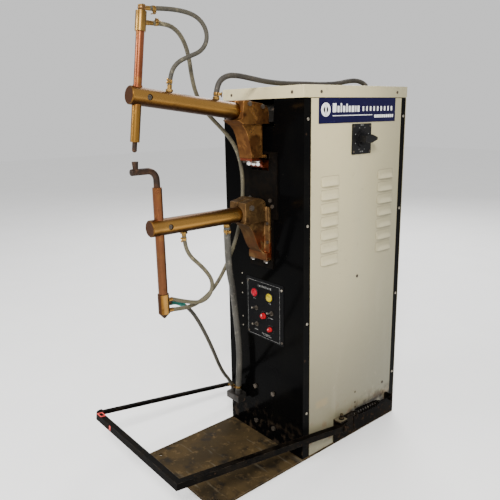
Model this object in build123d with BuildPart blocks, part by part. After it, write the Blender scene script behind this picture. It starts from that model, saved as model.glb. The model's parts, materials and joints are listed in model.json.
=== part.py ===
from build123d import *
import math
import os

os.makedirs("parts", exist_ok=True)

# Pedestal spot welder with a foot-operated rocker arm. Millimetres, +Z up.
# Origin: on the floor, on the centre plane, below the face of the front panel.
# The arms reach out towards -Y; the louvred side with the tap switch is +X.

# ---- driving dimensions -------------------------------------------------
half_w = 185
rear_y = 489
cabinet_h = 1200
panel_top = 1163
sheet = 1.6
base_t = 8
base_front_y = -360
post_w = 32
post_t = 3
cap_h = 35
cap_t = 1.5
cap_proud = 2
cover_x = half_w + 0.2
cover_t = 1.2
cover_y0 = 31
cover_y1 = 462

arm_d = 48
arm_tilt = 7.5
upper_cross_y = -424
upper_cross_z = 1173
lower_arm_z = 820
lower_cross_y = -381
electrode_d = 25
lower_electrode_d = 27
water_bore_r = 9
upper_foot_z = 990
lower_foot_z = 666
shunt_w = 58
shunt_t = 8

rocker_y = 50
rocker_z = 1120
rocker_shaft_r = 12.5
rod_y = 250

pedal_y = 183
pedal_z = 63
pedal_tilt = 8.6
pedal_reach = 682
pedal_bar = 20
pedal_left_bar = 12
pedal_left_x = -282
pedal_right_x = 204
pedal_shaft_r = 12.5
crank_pin_r = 6

hose_d = 12
return_hose_d = 16
supply_hose_d = 21

louvre_rows = 7
louvre_pitch = 41.2
louvre_bottom_z = 658
louvre_columns = [115, 388]
louvre_w = 76
louvre_h = 29
louvre_out = 6

selector_y = 257
selector_z = 1040

red_lamp_at = (-40, 537)
yellow_lamp_at = (34, 535)
time_knob_at = (5, 464)
heat_knob_at = (37, 424)
toggles_at = {"left": (-33, 483), "right": (43, 482), "lower": (-31, 426)}
toggle_rest_deg = 12
time_knob_r = 10.5
heat_knob_r = 8.5

hose_routes = {
    "jumper": [
        (0, -373, 1389), (3, -326, 1393), (8, -266, 1390), (12, -228, 1377), (15, -207, 1350),
        (16, -206, 1318), (14, -226, 1291), (10, -262, 1277), (5, -297, 1262), (1, -319, 1235),
        (0, -323.5, 1202),
    ],
    "link": [
        (0, -366, 1354), (-3, -324, 1357), (-10, -285, 1344), (-19, -256, 1315), (-28, -238, 1277),
        (-36, -227, 1232), (-43, -211, 1185), (-51, -181, 1141), (-56, -143, 1108), (-58, -105, 1077),
        (-58, -70, 1042), (-57, -46, 1000), (-55, -35, 950), (-55, -32, 895), (-56, -35, 840),
        (-57, -43, 790), (-59, -58, 741), (-61, -77, 694), (-59, -104, 649), (-41, -150, 610),
        (-24, -203, 579), (-14, -257, 563), (-6, -308, 563), (0, -352, 572),
    ],
    "return": [
        (0, -168.6, 1173.1), (0, -166, 1196), (0, -152, 1219), (1, -124, 1232), (2, -88, 1232),
        (3, -44, 1226), (5, 14, 1217), (4, 92, 1212), (6, 180, 1213), (4, 268, 1212), (5, 345, 1216),
        (8, 400, 1226), (9, 452, 1228), (10, 496, 1212), (10, 521, 1176), (9, 527, 1136), (8, 526, 1102),
    ],
    "supply": [
        (0, -144, 788), (-6, -139, 738), (-19, -128, 686), (-21, -124, 649), (-35, -109, 613),
        (-64, -80, 573), (-110, -38, 503), (-111, -30, 425), (-101, -29, 345), (-97, -31, 268),
        (-103, -32, 206), (-106, -32, 162),
    ],
    "arm_to_electrode": [
        (0, -301, 784), (0, -299, 752), (1, -283, 719), (2, -256, 693), (3, -232, 667),
        (4, -212, 637), (4, -209, 611), (4, -221, 587), (3, -243, 574), (2, -271, 574),
        (1, -313, 588), (0, -353, 604),
    ],
    "taped": [
        (-15, -355, 588), (-28, -332, 585), (-37, -300, 570), (-44, -262, 538), (-51, -228, 488),
        (-60, -193, 424), (-76, -156, 354), (-97, -120, 287), (-119, -84, 234), (-133, -52, 198),
        (-136, -34, 162),
    ],
}


# ---- shared shapes ------------------------------------------------------
def corner_radii(points):
    """The largest arc that each corner of a hose route has room for."""
    radii = []
    for before, corner, after in zip(points, points[1:], points[2:]):
        run_in = Vector(*corner) - Vector(*before)
        run_out = Vector(*after) - Vector(*corner)
        half_turn = math.radians(run_in.get_angle(run_out)) / 2
        radii.append(0.45 * min(run_in.length, run_out.length) / math.tan(half_turn))
    return radii


def hose(route, diameter):
    """A hose as straight runs joined by tangent arcs, inside an open BuildPart."""
    points = hose_routes[route]
    radii = corner_radii(points)
    with BuildLine():
        course = FilletPolyline(*points, radius=radii)
    with BuildSketch(Plane(course @ 0, z_dir=course % 0)) as section:
        Circle(diameter / 2)
    sweep(section.sketch, path=course)
    expected = math.pi * diameter**2 / 4 * course.length
    print(route, "hose: length", round(course.length), "radii", [round(r) for r in radii],
          "volume ratio", round(BuildPart._get_context().part.volume / expected, 4))


def turned(plane, steps, mode=Mode.ADD):
    """A stack of round steps, each (radius, length), along a plane's normal."""
    start = 0
    for radius, length in steps:
        with BuildSketch(plane.offset(start)) as disc:
            Circle(radius)
        extrude(disc.sketch, amount=length, mode=mode)
        start += length


def hexagon(plane, across, thickness):
    """A hexagonal head or nut standing on a plane."""
    with BuildSketch(plane) as outline:
        RegularPolygon(across / 2, 6, major_radius=False)
    extrude(outline.sketch, amount=thickness)


def block(x, y, z, mode=Mode.ADD):
    """A box between two limits on each axis."""
    with BuildSketch(Plane.XY.offset(z[0])) as footprint:
        with Locations(((x[0] + x[1]) / 2, (y[0] + y[1]) / 2)):
            Rectangle(x[1] - x[0], y[1] - y[0])
    extrude(footprint.sketch, amount=z[1] - z[0], mode=mode)


def facing(x, y, z, direction):
    """A plane at a point, with its normal along a direction."""
    return Plane(origin=(x, y, z), z_dir=direction)


tilt = math.radians(arm_tilt)
arm_front = (0, -math.cos(tilt), math.sin(tilt))
arm_up = (0, math.sin(tilt), math.cos(tilt))
crossing = (0, upper_cross_y, upper_cross_z)
arm_plane = Plane(origin=crossing, x_dir=(1, 0, 0), z_dir=arm_front)
electrode_plane = Plane(origin=crossing, x_dir=(1, 0, 0), z_dir=arm_up)


def along_arm(y, rise):
    """The plane of a fitting on the upper arm at a given y, a rise above its axis."""
    back = (upper_cross_y - y) / math.cos(tilt)
    point = Vector(*crossing) + Vector(*arm_front) * back + Vector(*arm_up) * rise
    return Plane(origin=point, x_dir=(1, 0, 0), z_dir=arm_up)


# ---- base and cabinet frame ---------------------------------------------
anchor_r = 7
anchor_x = 155
anchor_front_y = -335
anchor_rear_y = 455

with BuildPart() as base_plate:
    block((-half_w, half_w), (base_front_y, rear_y), (0, base_t))
    with Locations(*[(x, y, base_t) for x in (-anchor_x, anchor_x)
                     for y in (anchor_front_y, anchor_rear_y)]):
        Hole(anchor_r)
base_plate.part.label = "base_plate"
export_step(base_plate.part, "parts/base_plate.step")

post_x = half_w - 1
post_top = cabinet_h - 4
post_inner_x = post_x - post_w
front_leg_y = (sheet + 0.1, 50)
rear_leg_y = (440, rear_y - 1.8)
rail_h = 30
shelf_z = 560
top_rail_z = 1150

with BuildPart() as cabinet_frame:
    for side in (-1, 1):
        x_out = side * post_x
        x_leg = sorted((x_out, x_out - side * post_t))
        x_face = sorted((x_out, side * post_inner_x))
        for leg_y, face_y in ((front_leg_y, (front_leg_y[0], front_leg_y[0] + post_t)),
                              (rear_leg_y, (rear_leg_y[1] - post_t, rear_leg_y[1]))):
            block(x_leg, leg_y, (base_t, post_top))
            block(x_face, face_y, (base_t, post_top))
        for low in (base_t, shelf_z, top_rail_z):
            rail_y = (front_leg_y[1], rear_leg_y[0])
            block(x_leg, rail_y, (low, low + rail_h))
            block(x_face, rail_y, (low, low + post_t))
    for low in (base_t, top_rail_z):
        block((-post_inner_x, post_inner_x), (rear_leg_y[1] - post_t, rear_leg_y[1]), (low, low + rail_h))
    for shelf_y in (100, 170):
        block((-post_inner_x, post_inner_x), (shelf_y, shelf_y + rail_h), (shelf_z, shelf_z + post_t))
cabinet_frame.part.label = "cabinet_frame"
export_step(cabinet_frame.part, "parts/cabinet_frame.step")

rocker_window = ((-60, 60), (1084, 1163))
shunt_window = ((-40, 40), (950, 1001))
lower_window = ((-36, 36), (660, 702))
control_x = (-84, 99)
control_z = (380, 588)
control_holes = [
    (red_lamp_at, 11.5), (yellow_lamp_at, 11.5), (time_knob_at, 5), (heat_knob_at, 5),
    (toggles_at["left"], 6.3), (toggles_at["right"], 6.3), (toggles_at["lower"], 6.3),
]

with BuildPart() as front_panel:
    block((-half_w, half_w), (0, sheet), (base_t, panel_top))
    for window_x, window_z in (rocker_window, shunt_window, lower_window):
        block(window_x, (-1, 3), window_z, mode=Mode.SUBTRACT)
    for (x, z), radius in control_holes:
        turned(facing(x, -1, z, (0, 1, 0)), [(radius, 4)], mode=Mode.SUBTRACT)
front_panel.part.label = "front_panel"
export_step(front_panel.part, "parts/front_panel.step")

gland_at = (90, 130)
outlet_at = (8, 1080)
gland_thread_r = 12
outlet_r = 8
vent_rows = 8
vent_pitch = 36
vent_bottom_z = 640
vent_half_w = 42
vent_h = 6

with BuildPart() as rear_panel:
    block((-half_w, half_w), (rear_y - sheet, rear_y), (base_t, panel_top))
    for row in range(vent_rows):
        z = vent_bottom_z + vent_pitch * row
        for x in (-75, 75):
            block((x - vent_half_w, x + vent_half_w), (rear_y - 3, rear_y + 1), (z, z + vent_h),
                  mode=Mode.SUBTRACT)
    for (x, z), radius in ((gland_at, gland_thread_r), (outlet_at, outlet_r)):
        turned(facing(x, rear_y - 3, z, (0, 1, 0)), [(radius + 0.2, 4)], mode=Mode.SUBTRACT)
rear_panel.part.label = "rear_panel"
export_step(rear_panel.part, "parts/rear_panel.step")


def louvre(side, y, z, grow):
    """The solid of one pressed louvre hood, shrunk by grow for its hollow."""
    start = side * (cover_x - grow)
    outside = Plane(origin=(start, 0, 0), x_dir=(0, 1, 0), z_dir=(side, 0, 0))
    with BuildSketch(outside) as root:
        with Locations((y, side * (z + louvre_h / 2))):
            RectangleRounded(louvre_w - 3 * grow, louvre_h - grow, 3)
    with BuildSketch(outside.offset(louvre_out)) as lip:
        with Locations((y, side * (z + 5))):
            RectangleRounded(louvre_w - 14 - 3 * grow, 9 - grow, 2)
    return loft([root.sketch.face(), lip.sketch.face()], mode=Mode.PRIVATE)


def side_cover(side):
    """A side cover with two columns of pressed louvres, inside an open BuildPart."""
    inner = side * (cover_x - cover_t)
    block(sorted((inner, side * cover_x)), (cover_y0, cover_y1), (base_t + 1, panel_top))
    sites = [(y, louvre_bottom_z + louvre_pitch * row) for y in louvre_columns for row in range(louvre_rows)]
    add([louvre(side, y, z, 0) for y, z in sites])
    add([louvre(side, y, z, 1.4) for y, z in sites], mode=Mode.SUBTRACT)
    turned(facing(side * 180, pedal_y, pedal_z, (side, 0, 0)), [(17, 8)], mode=Mode.SUBTRACT)


with BuildPart() as right_side_cover:
    side_cover(1)
    turned(facing(180, selector_y, selector_z, (1, 0, 0)), [(9, 8)], mode=Mode.SUBTRACT)
right_side_cover.part.label = "right_side_cover"
export_step(right_side_cover.part, "parts/right_side_cover.step")

with BuildPart() as left_side_cover:
    side_cover(-1)
left_side_cover.part.label = "left_side_cover"
export_step(left_side_cover.part, "parts/left_side_cover.step")

cap_x = half_w + cap_proud
cap_y = (-1.7, rear_y + 1.7)
cap_bend_r = 2

with BuildPart() as top_cap:
    block((-cap_x, cap_x), cap_y, (cabinet_h - cap_h, cabinet_h))
    fillet(top_cap.edges().filter_by(Axis.Z), cap_bend_r)
    fillet(top_cap.faces().sort_by(Axis.Z)[-1].edges(), cap_bend_r)
    block((cap_t - cap_x, cap_x - cap_t), (cap_y[0] + cap_t, cap_y[1] - cap_t),
          (cabinet_h - cap_h - 5, cabinet_h - cap_t), mode=Mode.SUBTRACT)
top_cap.part.label = "top_cap"
export_step(top_cap.part, "parts/top_cap.step")

cap_screw_z = cabinet_h - 19
screw_r = 4.5
screw_head_h = 2.2
screw_sites = []
for side in (-1, 1):
    screw_sites += [(side * (cap_x + 0.05), y, cap_screw_z, (side, 0, 0)) for y in (70, 434)]
    screw_sites += [(side * (post_x + 0.05), y, z, (side, 0, 0))
                    for y in (18, 476) for z in (1105, 792, 480, 170)]
screw_sites += [(x, cap_y[0] - 0.05, cap_screw_z, (0, -1, 0)) for x in (-140, 140)]
screw_sites += [(x, -2.05, z, (0, -1, 0)) for x in (-74, 90) for z in (392, 572)]
screw_sites += [(cover_x + 3.05, y, z, (1, 0, 0)) for y in (218, 296) for z in (1000, 1078)]

with BuildPart() as cabinet_screws:
    for x, y, z, direction in screw_sites:
        turned(facing(x, y, z, direction), [(screw_r, screw_head_h)])
    fillet(cabinet_screws.edges().filter_by(GeomType.CIRCLE).group_by(SortBy.RADIUS)[-1], 0.8)
cabinet_screws.part.label = "cabinet_screws"
export_step(cabinet_screws.part, "parts/cabinet_screws.step")

with BuildPart() as nameplate:
    block((cover_x + 0.05, cover_x + 1.5), (61, 427), (1090, 1164))
nameplate.part.label = "nameplate"
export_step(nameplate.part, "parts/nameplate.step")

# ---- tap switch on the right side ---------------------------------------
with BuildPart() as selector_plate:
    block((cover_x + 0.05, cover_x + 3), (211, 303), (992, 1086))
    fillet(selector_plate.edges().filter_by(Axis.X), 3)
    turned(facing(180, selector_y, selector_z, (1, 0, 0)), [(7, 10)], mode=Mode.SUBTRACT)
selector_plate.part.label = "selector_plate"
export_step(selector_plate.part, "parts/selector_plate.step")

knob_face = facing(cover_x + 3.5, selector_y, selector_z, (1, 0, 0))
with BuildPart() as selector_knob:
    turned(knob_face, [(26, 5), (19, 8)])
    with BuildSketch(Plane(origin=(cover_x + 12, selector_y, selector_z), x_dir=(0, 1, 0), z_dir=(1, 0, 0))):
        with BuildLine():
            Polyline((-22, 9), (10, 13), (36, 4), (36, -4), (10, -13), (-22, -9), (-22, 9))
        make_face()
    extrude(amount=26)
    fillet(selector_knob.faces().sort_by(Axis.X)[-1].edges(), 2)
    turned(facing(140, selector_y, selector_z, (1, 0, 0)), [(4, cover_x + 3.5 - 140)])
selector_knob.part.label = "selector_knob"
export_step(selector_knob.part, "parts/selector_knob.step")

with BuildPart() as tap_switch:
    for wafer in range(4):
        x = 140 + 9 * wafer
        turned(facing(x, selector_y, selector_z, (1, 0, 0)), [(30, 4), (14, 5)])
    block((176, 183.5), (selector_y - 30, selector_y + 30), (selector_z - 12, selector_z + 12))
    turned(facing(139, selector_y, selector_z, (1, 0, 0)), [(4.05, 50)], mode=Mode.SUBTRACT)
tap_switch.part.label = "tap_switch"
export_step(tap_switch.part, "parts/tap_switch.step")

# ---- control panel ------------------------------------------------------
with BuildPart() as control_plate:
    block(control_x, (-2, -0.05), control_z)
    fillet(control_plate.edges().filter_by(Axis.Y), 4)
    for (x, z), radius in control_holes:
        turned(facing(x, -3, z, (0, 1, 0)), [(radius, 4)], mode=Mode.SUBTRACT)
control_plate.part.label = "control_plate"
export_step(control_plate.part, "parts/control_plate.step")


def control_knob(place, radius):
    """A round knob with its spindle, inside an open BuildPart."""
    x, z = place
    turned(facing(x, -3, z, (0, -1, 0)), [(radius, 4), (radius - 1.5, 12)])
    fillet(BuildPart._get_context().faces().sort_by(Axis.Y)[0].edges(), 3)
    turned(facing(x, -3, z, (0, 1, 0)), [(3, 24)])


with BuildPart() as weld_time_knob:
    control_knob(time_knob_at, time_knob_r)
weld_time_knob.part.label = "weld_time_knob"
export_step(weld_time_knob.part, "parts/weld_time_knob.step")

with BuildPart() as heat_knob:
    control_knob(heat_knob_at, heat_knob_r)
heat_knob.part.label = "heat_knob"
export_step(heat_knob.part, "parts/heat_knob.step")


def indicator_lamp(place):
    """A domed pilot lamp with its body behind the panel, inside an open BuildPart."""
    x, z = place
    turned(facing(x, -2.05, z, (0, -1, 0)), [(16, 3), (14.5, 9)])
    fillet(BuildPart._get_context().faces().sort_by(Axis.Y)[0].edges(), 6)
    turned(facing(x, -2.05, z, (0, 1, 0)), [(11, 30)])


with BuildPart() as mains_lamp:
    indicator_lamp(red_lamp_at)
mains_lamp.part.label = "mains_lamp"
export_step(mains_lamp.part, "parts/mains_lamp.step")

with BuildPart() as weld_lamp:
    indicator_lamp(yellow_lamp_at)
weld_lamp.part.label = "weld_lamp"
export_step(weld_lamp.part, "parts/weld_lamp.step")

toggle_pivot_y = 3

with BuildPart() as toggle_bodies:
    for x, z in toggles_at.values():
        block((x - 6.5, x + 6.5), (sheet + 0.1, 22), (z - 9, z + 9))
        turned(facing(x, sheet + 0.1, z, (0, -1, 0)), [(6, 7.7)])
        hexagon(facing(x, -2.1, z, (0, -1, 0)), 15, 2)
        turned(facing(x, -9, z, (0, 1, 0)), [(4.6, 18)], mode=Mode.SUBTRACT)
toggle_bodies.part.label = "toggle_bodies"
export_step(toggle_bodies.part, "parts/toggle_bodies.step")


def toggle_lever(place):
    """A bat lever resting in its upper position, inside an open BuildPart."""
    x, z = place
    rise = math.radians(toggle_rest_deg)
    lean = facing(x, toggle_pivot_y, z, (0, -math.cos(rise), math.sin(rise)))
    turned(lean, [(1.6, 12), (2.2, 8), (2.9, 7)])
    turned(facing(x - 2.8, toggle_pivot_y, z, (1, 0, 0)), [(3.4, 5.6)])


with BuildPart() as toggle_lever_left:
    toggle_lever(toggles_at["left"])
toggle_lever_left.part.label = "toggle_lever_left"
export_step(toggle_lever_left.part, "parts/toggle_lever_left.step")

with BuildPart() as toggle_lever_right:
    toggle_lever(toggles_at["right"])
toggle_lever_right.part.label = "toggle_lever_right"
export_step(toggle_lever_right.part, "parts/toggle_lever_right.step")

with BuildPart() as toggle_lever_lower:
    toggle_lever(toggles_at["lower"])
toggle_lever_lower.part.label = "toggle_lever_lower"
export_step(toggle_lever_lower.part, "parts/toggle_lever_lower.step")

with BuildPart() as timer_board:
    block((-72, 88), (38, 40), (388, 580))
    for x, z in (time_knob_at, heat_knob_at):
        turned(facing(x, 38, z, (0, -1, 0)), [(9, 20)])
        turned(facing(x, 15, z, (0, 1, 0)), [(3.05, 8)], mode=Mode.SUBTRACT)
    block((-60, -15), (40, 75), (400, 455))
    for x in (-50, -15, 20, 55):
        block((x, x + 22), (40, 60), (520, 550))
    for x, z in ((62, 500), (62, 440)):
        turned(facing(x, 40, z, (0, 1, 0)), [(9, 28)])
timer_board.part.label = "timer_board"
export_step(timer_board.part, "parts/timer_board.step")

# ---- rocker -------------------------------------------------------------
cheek_x = (48, 56)

with BuildPart() as head_bracket:
    bracket_x = (post_t - post_x, post_x - post_t)
    block(bracket_x, (5, 95), (1046, 1052))
    block(bracket_x, (5, 11), (1016, 1046))
    for side in (-1, 1):
        block(sorted((side * cheek_x[0], side * cheek_x[1])), (14, 86), (1052, 1150))
    turned(facing(-70, rocker_y, rocker_z, (1, 0, 0)), [(rocker_shaft_r + 0.03, 140)], mode=Mode.SUBTRACT)
head_bracket.part.label = "head_bracket"
export_step(head_bracket.part, "parts/head_bracket.step")

with BuildPart() as rocker_shaft:
    turned(facing(-66, rocker_y, rocker_z, (1, 0, 0)), [(rocker_shaft_r, 132)])
    chamfer(rocker_shaft.edges().filter_by(GeomType.CIRCLE), 1)
rocker_shaft.part.label = "rocker_shaft"
export_step(rocker_shaft.part, "parts/rocker_shaft.step")

bush_r = 17

with BuildPart() as rocker_bushes:
    for side in (-1, 1):
        inner = facing(side * 12, rocker_y, rocker_z, (side, 0, 0))
        turned(inner, [(bush_r, 28), (23, 6)])
        turned(inner.offset(-1), [(rocker_shaft_r + 0.05, 40)], mode=Mode.SUBTRACT)
rocker_bushes.part.label = "rocker_bushes"
export_step(rocker_bushes.part, "parts/rocker_bushes.step")

with BuildPart() as rocker_beam:
    block((-36, 36), (0.1, 20), (1097, 1130))
    block((-20, 20), (20, 225), (1100, 1140))
    turned(facing(-39, rocker_y, rocker_z, (1, 0, 0)), [(30, 78)])
    for side in (-1, 1):
        block(sorted((side * 8, side * 20)), (225, 268), (1100, 1140))
    turned(facing(-40, rocker_y, rocker_z, (1, 0, 0)), [(bush_r + 0.02, 80)], mode=Mode.SUBTRACT)
    turned(facing(-24, rod_y, rocker_z, (1, 0, 0)), [(9, 4), (crank_pin_r, 40), (9, 4)])
rocker_beam.part.label = "rocker_beam"
export_step(rocker_beam.part, "parts/rocker_beam.step")

# ---- upper arm and electrode --------------------------------------------
arm_behind = 398
arm_ahead = 24
bore_gap = 0.03
leg_half_w = 30
set_screw_r = 8

with BuildPart() as upper_arm_holder:
    with BuildSketch(Plane(origin=(-38, 0, 0), x_dir=(0, 1, 0), z_dir=(1, 0, 0))):
        with BuildLine():
            Polyline((-100, 1092), (0, 1092), (0, 1128), (-4, 1140), (-14, 1147), (-28, 1152),
                     (-98, 1163), (-104, 1110), (-120, 1104), (-100, 1092))
        make_face()
    extrude(amount=76)
    with BuildSketch(Plane(origin=(-leg_half_w, 0, 0), x_dir=(0, 1, 0), z_dir=(1, 0, 0))):
        with BuildLine():
            Polyline((-3, upper_foot_z), (-3, upper_foot_z + 8), (-20, upper_foot_z + 10), (-20, 1093),
                     (-104, 1093))
            Spline((-104, 1093), (-84, 1070), (-72, 1030), (-66, upper_foot_z + 10))
            Polyline((-66, upper_foot_z + 10), (-66, upper_foot_z), (-3, upper_foot_z))
        make_face()
    extrude(amount=2 * leg_half_w)
    clamp_edges = upper_arm_holder.edges().filter_by(Axis.X).group_by(Axis.Z)[-1]
    fillet(clamp_edges, 6)
    turned(arm_plane.offset(-arm_behind - 0.5), [(arm_d / 2 + bore_gap, 200)], mode=Mode.SUBTRACT)
    block((-1.5, 1.5), (-140, -32), (1150, 1190), mode=Mode.SUBTRACT)
upper_arm_holder.part.label = "upper_arm_holder"
export_step(upper_arm_holder.part, "parts/upper_arm_holder.step")

with BuildPart() as upper_clamp_bolts:
    for y, z in ((-78, 1151), (-27, 1143)):
        hexagon(facing(38.1, y, z, (1, 0, 0)), 12, 6)
        hexagon(facing(-38.1, y, z, (-1, 0, 0)), 12, 6)
    for x in (-22, 22):
        hexagon(facing(x, -46, upper_foot_z - 0.1 - shunt_t, (0, 0, -1)), 15, 7)
upper_clamp_bolts.part.label = "upper_clamp_bolts"
export_step(upper_clamp_bolts.part, "parts/upper_clamp_bolts.step")

with BuildPart() as upper_arm:
    turned(arm_plane.offset(-arm_behind), [(arm_d / 2, arm_behind + arm_ahead)])
    chamfer(upper_arm.edges().filter_by(GeomType.CIRCLE), 2)
    turned(electrode_plane.offset(-40), [(electrode_d / 2 + bore_gap, 80)], mode=Mode.SUBTRACT)
    for y in (-329, -173):
        turned(along_arm(y, 12), [(6.03, 20)], mode=Mode.SUBTRACT)
    turned(arm_plane.offset(-arm_behind - 1), [(water_bore_r, 354)], mode=Mode.SUBTRACT)
    turned(facing(14, -399, 1169.5, (1, 0, 0)), [(4, 4), (set_screw_r, 20)], mode=Mode.SUBTRACT)
upper_arm.part.label = "upper_arm"
export_step(upper_arm.part, "parts/upper_arm.step")

with BuildPart() as upper_electrode_holder:
    turned(electrode_plane.offset(-118), [(electrode_d / 2, 145), (11, 133)])
    chamfer(upper_electrode_holder.edges().filter_by(GeomType.CIRCLE).group_by(Axis.Z)[0], 1)
    turned(electrode_plane.offset(-119), [(5.3, 16), (4, 264)], mode=Mode.SUBTRACT)
upper_electrode_holder.part.label = "upper_electrode_holder"
export_step(upper_electrode_holder.part, "parts/upper_electrode_holder.step")

with BuildPart() as upper_electrode_tip:
    turned(electrode_plane.offset(-144.5), [(6.5, 26.5), (5.25, 14)])
    fillet(upper_electrode_tip.faces().sort_by(Axis.Z)[0].edges(), 6)
upper_electrode_tip.part.label = "upper_electrode_tip"
export_step(upper_electrode_tip.part, "parts/upper_electrode_tip.step")

with BuildPart() as upper_water_head:
    turned(electrode_plane.offset(160.1), [(14.25, 49), (8, 8)])
    with BuildSketch(facing(0, -395.5, 1389, (0, 0, 1))):
        Circle(8.5)
    extrude(amount=7, both=True)
    turned(facing(0, -398, 1389, (0, 1, 0)), [(7, 9), (6, 16)])
    turned(facing(0, -398, 1354, (0, 1, 0)), [(6.5, 20), (6, 11.2)])
upper_water_head.part.label = "upper_water_head"
export_step(upper_water_head.part, "parts/upper_water_head.step")

with BuildPart() as upper_arm_fittings:
    for y, mouth_r, reach in ((-329, 6.6, 42.1), (-173, 8.6, 33.2)):
        turned(along_arm(y, 14), [(6, 10.4)])
        hexagon(along_arm(y, 24.4), 17, 6)
        turned(along_arm(y, 30.4), [(mouth_r, reach - 30.4)])
upper_arm_fittings.part.label = "upper_arm_fittings"
export_step(upper_arm_fittings.part, "parts/upper_arm_fittings.step")

with BuildPart() as flexible_shunt:
    foot_run_z = upper_foot_z - 0.05 - shunt_t / 2
    with BuildLine() as shunt_path:
        FilletPolyline((0, -63, foot_run_z), (0, -30, foot_run_z), (0, -16, 961), (0, 8, 961),
                       (0, 20, 978), (0, 50, 978), radius=7)
    with BuildSketch(Plane(origin=shunt_path.line @ 0, x_dir=(1, 0, 0), z_dir=(0, 1, 0))):
        Rectangle(shunt_w, shunt_t)
    sweep(path=shunt_path.line)
flexible_shunt.part.label = "flexible_shunt"
export_step(flexible_shunt.part, "parts/flexible_shunt.step")

# ---- lower arm and electrode --------------------------------------------
with BuildPart() as terminal_insulators:
    block((-89, 77), (-6, -0.05), (799, 1008))
    block(shunt_window[0], (-7, 1), shunt_window[1], mode=Mode.SUBTRACT)
    block((-55, 55), (-6, -0.05), (636, 798))
    block(lower_window[0], (-7, 1), lower_window[1], mode=Mode.SUBTRACT)
terminal_insulators.part.label = "terminal_insulators"
export_step(terminal_insulators.part, "parts/terminal_insulators.step")

with BuildPart() as lower_arm_holder:
    with BuildSketch(Plane(origin=(-38, 0, 0), x_dir=(0, 1, 0), z_dir=(1, 0, 0))):
        with BuildLine():
            Polyline((-6.1, 792), (-6.1, 838), (-17, 838))
            Spline((-17, 838), (-22, 857), (-44, 868), (-70, 864))
            Polyline((-70, 864), (-100, 858), (-102, 800), (-110, 797), (-100, 792), (-6.1, 792))
        make_face()
    extrude(amount=76)
    with BuildSketch(Plane(origin=(-leg_half_w, 0, 0), x_dir=(0, 1, 0), z_dir=(1, 0, 0))):
        with BuildLine():
            Polyline((-8, 690), (-8, 793), (-100, 793))
            Spline((-100, 793), (-70, 770), (-54, 735), (-24, 690))
            Line((-24, 690), (-8, 690))
        make_face()
    extrude(amount=2 * leg_half_w)
    block((-38, 50), (-16, -6.1), (lower_foot_z, 838))
    block((-38, 50), (-27, -6.1), (lower_foot_z, lower_foot_z + 26))
    turned(facing(0, -150, lower_arm_z, (0, 1, 0)), [(arm_d / 2 + bore_gap, 134)], mode=Mode.SUBTRACT)
    block((-1.5, 1.5), (-140, -30), (838, 880), mode=Mode.SUBTRACT)
lower_arm_holder.part.label = "lower_arm_holder"
export_step(lower_arm_holder.part, "parts/lower_arm_holder.step")

with BuildPart() as hex_bolts:
    hexagon(facing(38.1, -78, 842, (1, 0, 0)), 15, 7)
    hexagon(facing(-38.1, -78, 842, (-1, 0, 0)), 15, 7)
    for x in (-28, 36):
        hexagon(facing(x, -16.5, lower_foot_z - 0.1, (0, 0, -1)), 15, 7)
    for x, z in ((-46, 188), (46, 192), (-44, 54), (46, 61)):
        hexagon(facing(x, -0.05, z, (0, -1, 0)), 15, 6)
    for x, z in ((44, 786), (44, 726)):
        hexagon(facing(x, -16.1, z, (0, -1, 0)), 9, 4)
    for x, z in ((-58, 840), (58, 840), (-48, 858), (48, 858)):
        hexagon(facing(x, -6.1, z, (0, -1, 0)), 11, 5)
hex_bolts.part.label = "hex_bolts"
export_step(hex_bolts.part, "parts/hex_bolts.step")

with BuildPart() as lower_arm:
    turned(facing(0, -412, lower_arm_z, (0, 1, 0)), [(arm_d / 2, 392)])
    chamfer(lower_arm.edges().filter_by(GeomType.CIRCLE), 2)
    turned(facing(0, lower_cross_y, 780, (0, 0, 1)), [(lower_electrode_d / 2 + bore_gap, 80)],
           mode=Mode.SUBTRACT)
    for y in (-301, -144):
        turned(facing(0, y, 808, (0, 0, -1)), [(6.03, 20)], mode=Mode.SUBTRACT)
    turned(facing(0, -340, lower_arm_z, (0, 1, 0)), [(water_bore_r, 321)], mode=Mode.SUBTRACT)
    turned(facing(14, -357, 821, (1, 0, 0)), [(4, 4), (set_screw_r, 20)], mode=Mode.SUBTRACT)
lower_arm.part.label = "lower_arm"
export_step(lower_arm.part, "parts/lower_arm.step")

head_top = 626
holder_bottom = head_top + 0.1
holder_top = 932

with BuildPart() as lower_electrode_holder:
    turned(facing(0, lower_cross_y, holder_bottom, (0, 0, 1)),
           [(lower_electrode_d / 2, holder_top - holder_bottom)])
    chamfer(lower_electrode_holder.edges().filter_by(GeomType.CIRCLE), 1)
    turned(facing(0, lower_cross_y, head_top, (0, 0, 1)), [(4, 274), (9.03, 33)], mode=Mode.SUBTRACT)
lower_electrode_holder.part.label = "lower_electrode_holder"
export_step(lower_electrode_holder.part, "parts/lower_electrode_holder.step")

bend_z = 978
bar_r = 9
pad_y = -443

with BuildPart() as bent_electrode:
    with BuildLine() as bar_path:
        FilletPolyline((0, lower_cross_y, 901), (0, lower_cross_y, bend_z), (0, -458, bend_z), radius=26)
    with BuildSketch(facing(0, lower_cross_y, 901, (0, 0, 1))):
        Circle(bar_r)
    sweep(path=bar_path.line)
    fillet(bent_electrode.faces().sort_by(Axis.Y)[0].edges(), 3)
    with BuildSketch(facing(0, pad_y, bend_z, (0, 0, 1))):
        Circle(6.4)
    with BuildSketch(facing(0, pad_y, 1006, (0, 0, 1))):
        Circle(8.75)
    loft()
bent_electrode.part.label = "bent_electrode"
export_step(bent_electrode.part, "parts/bent_electrode.step")

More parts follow.
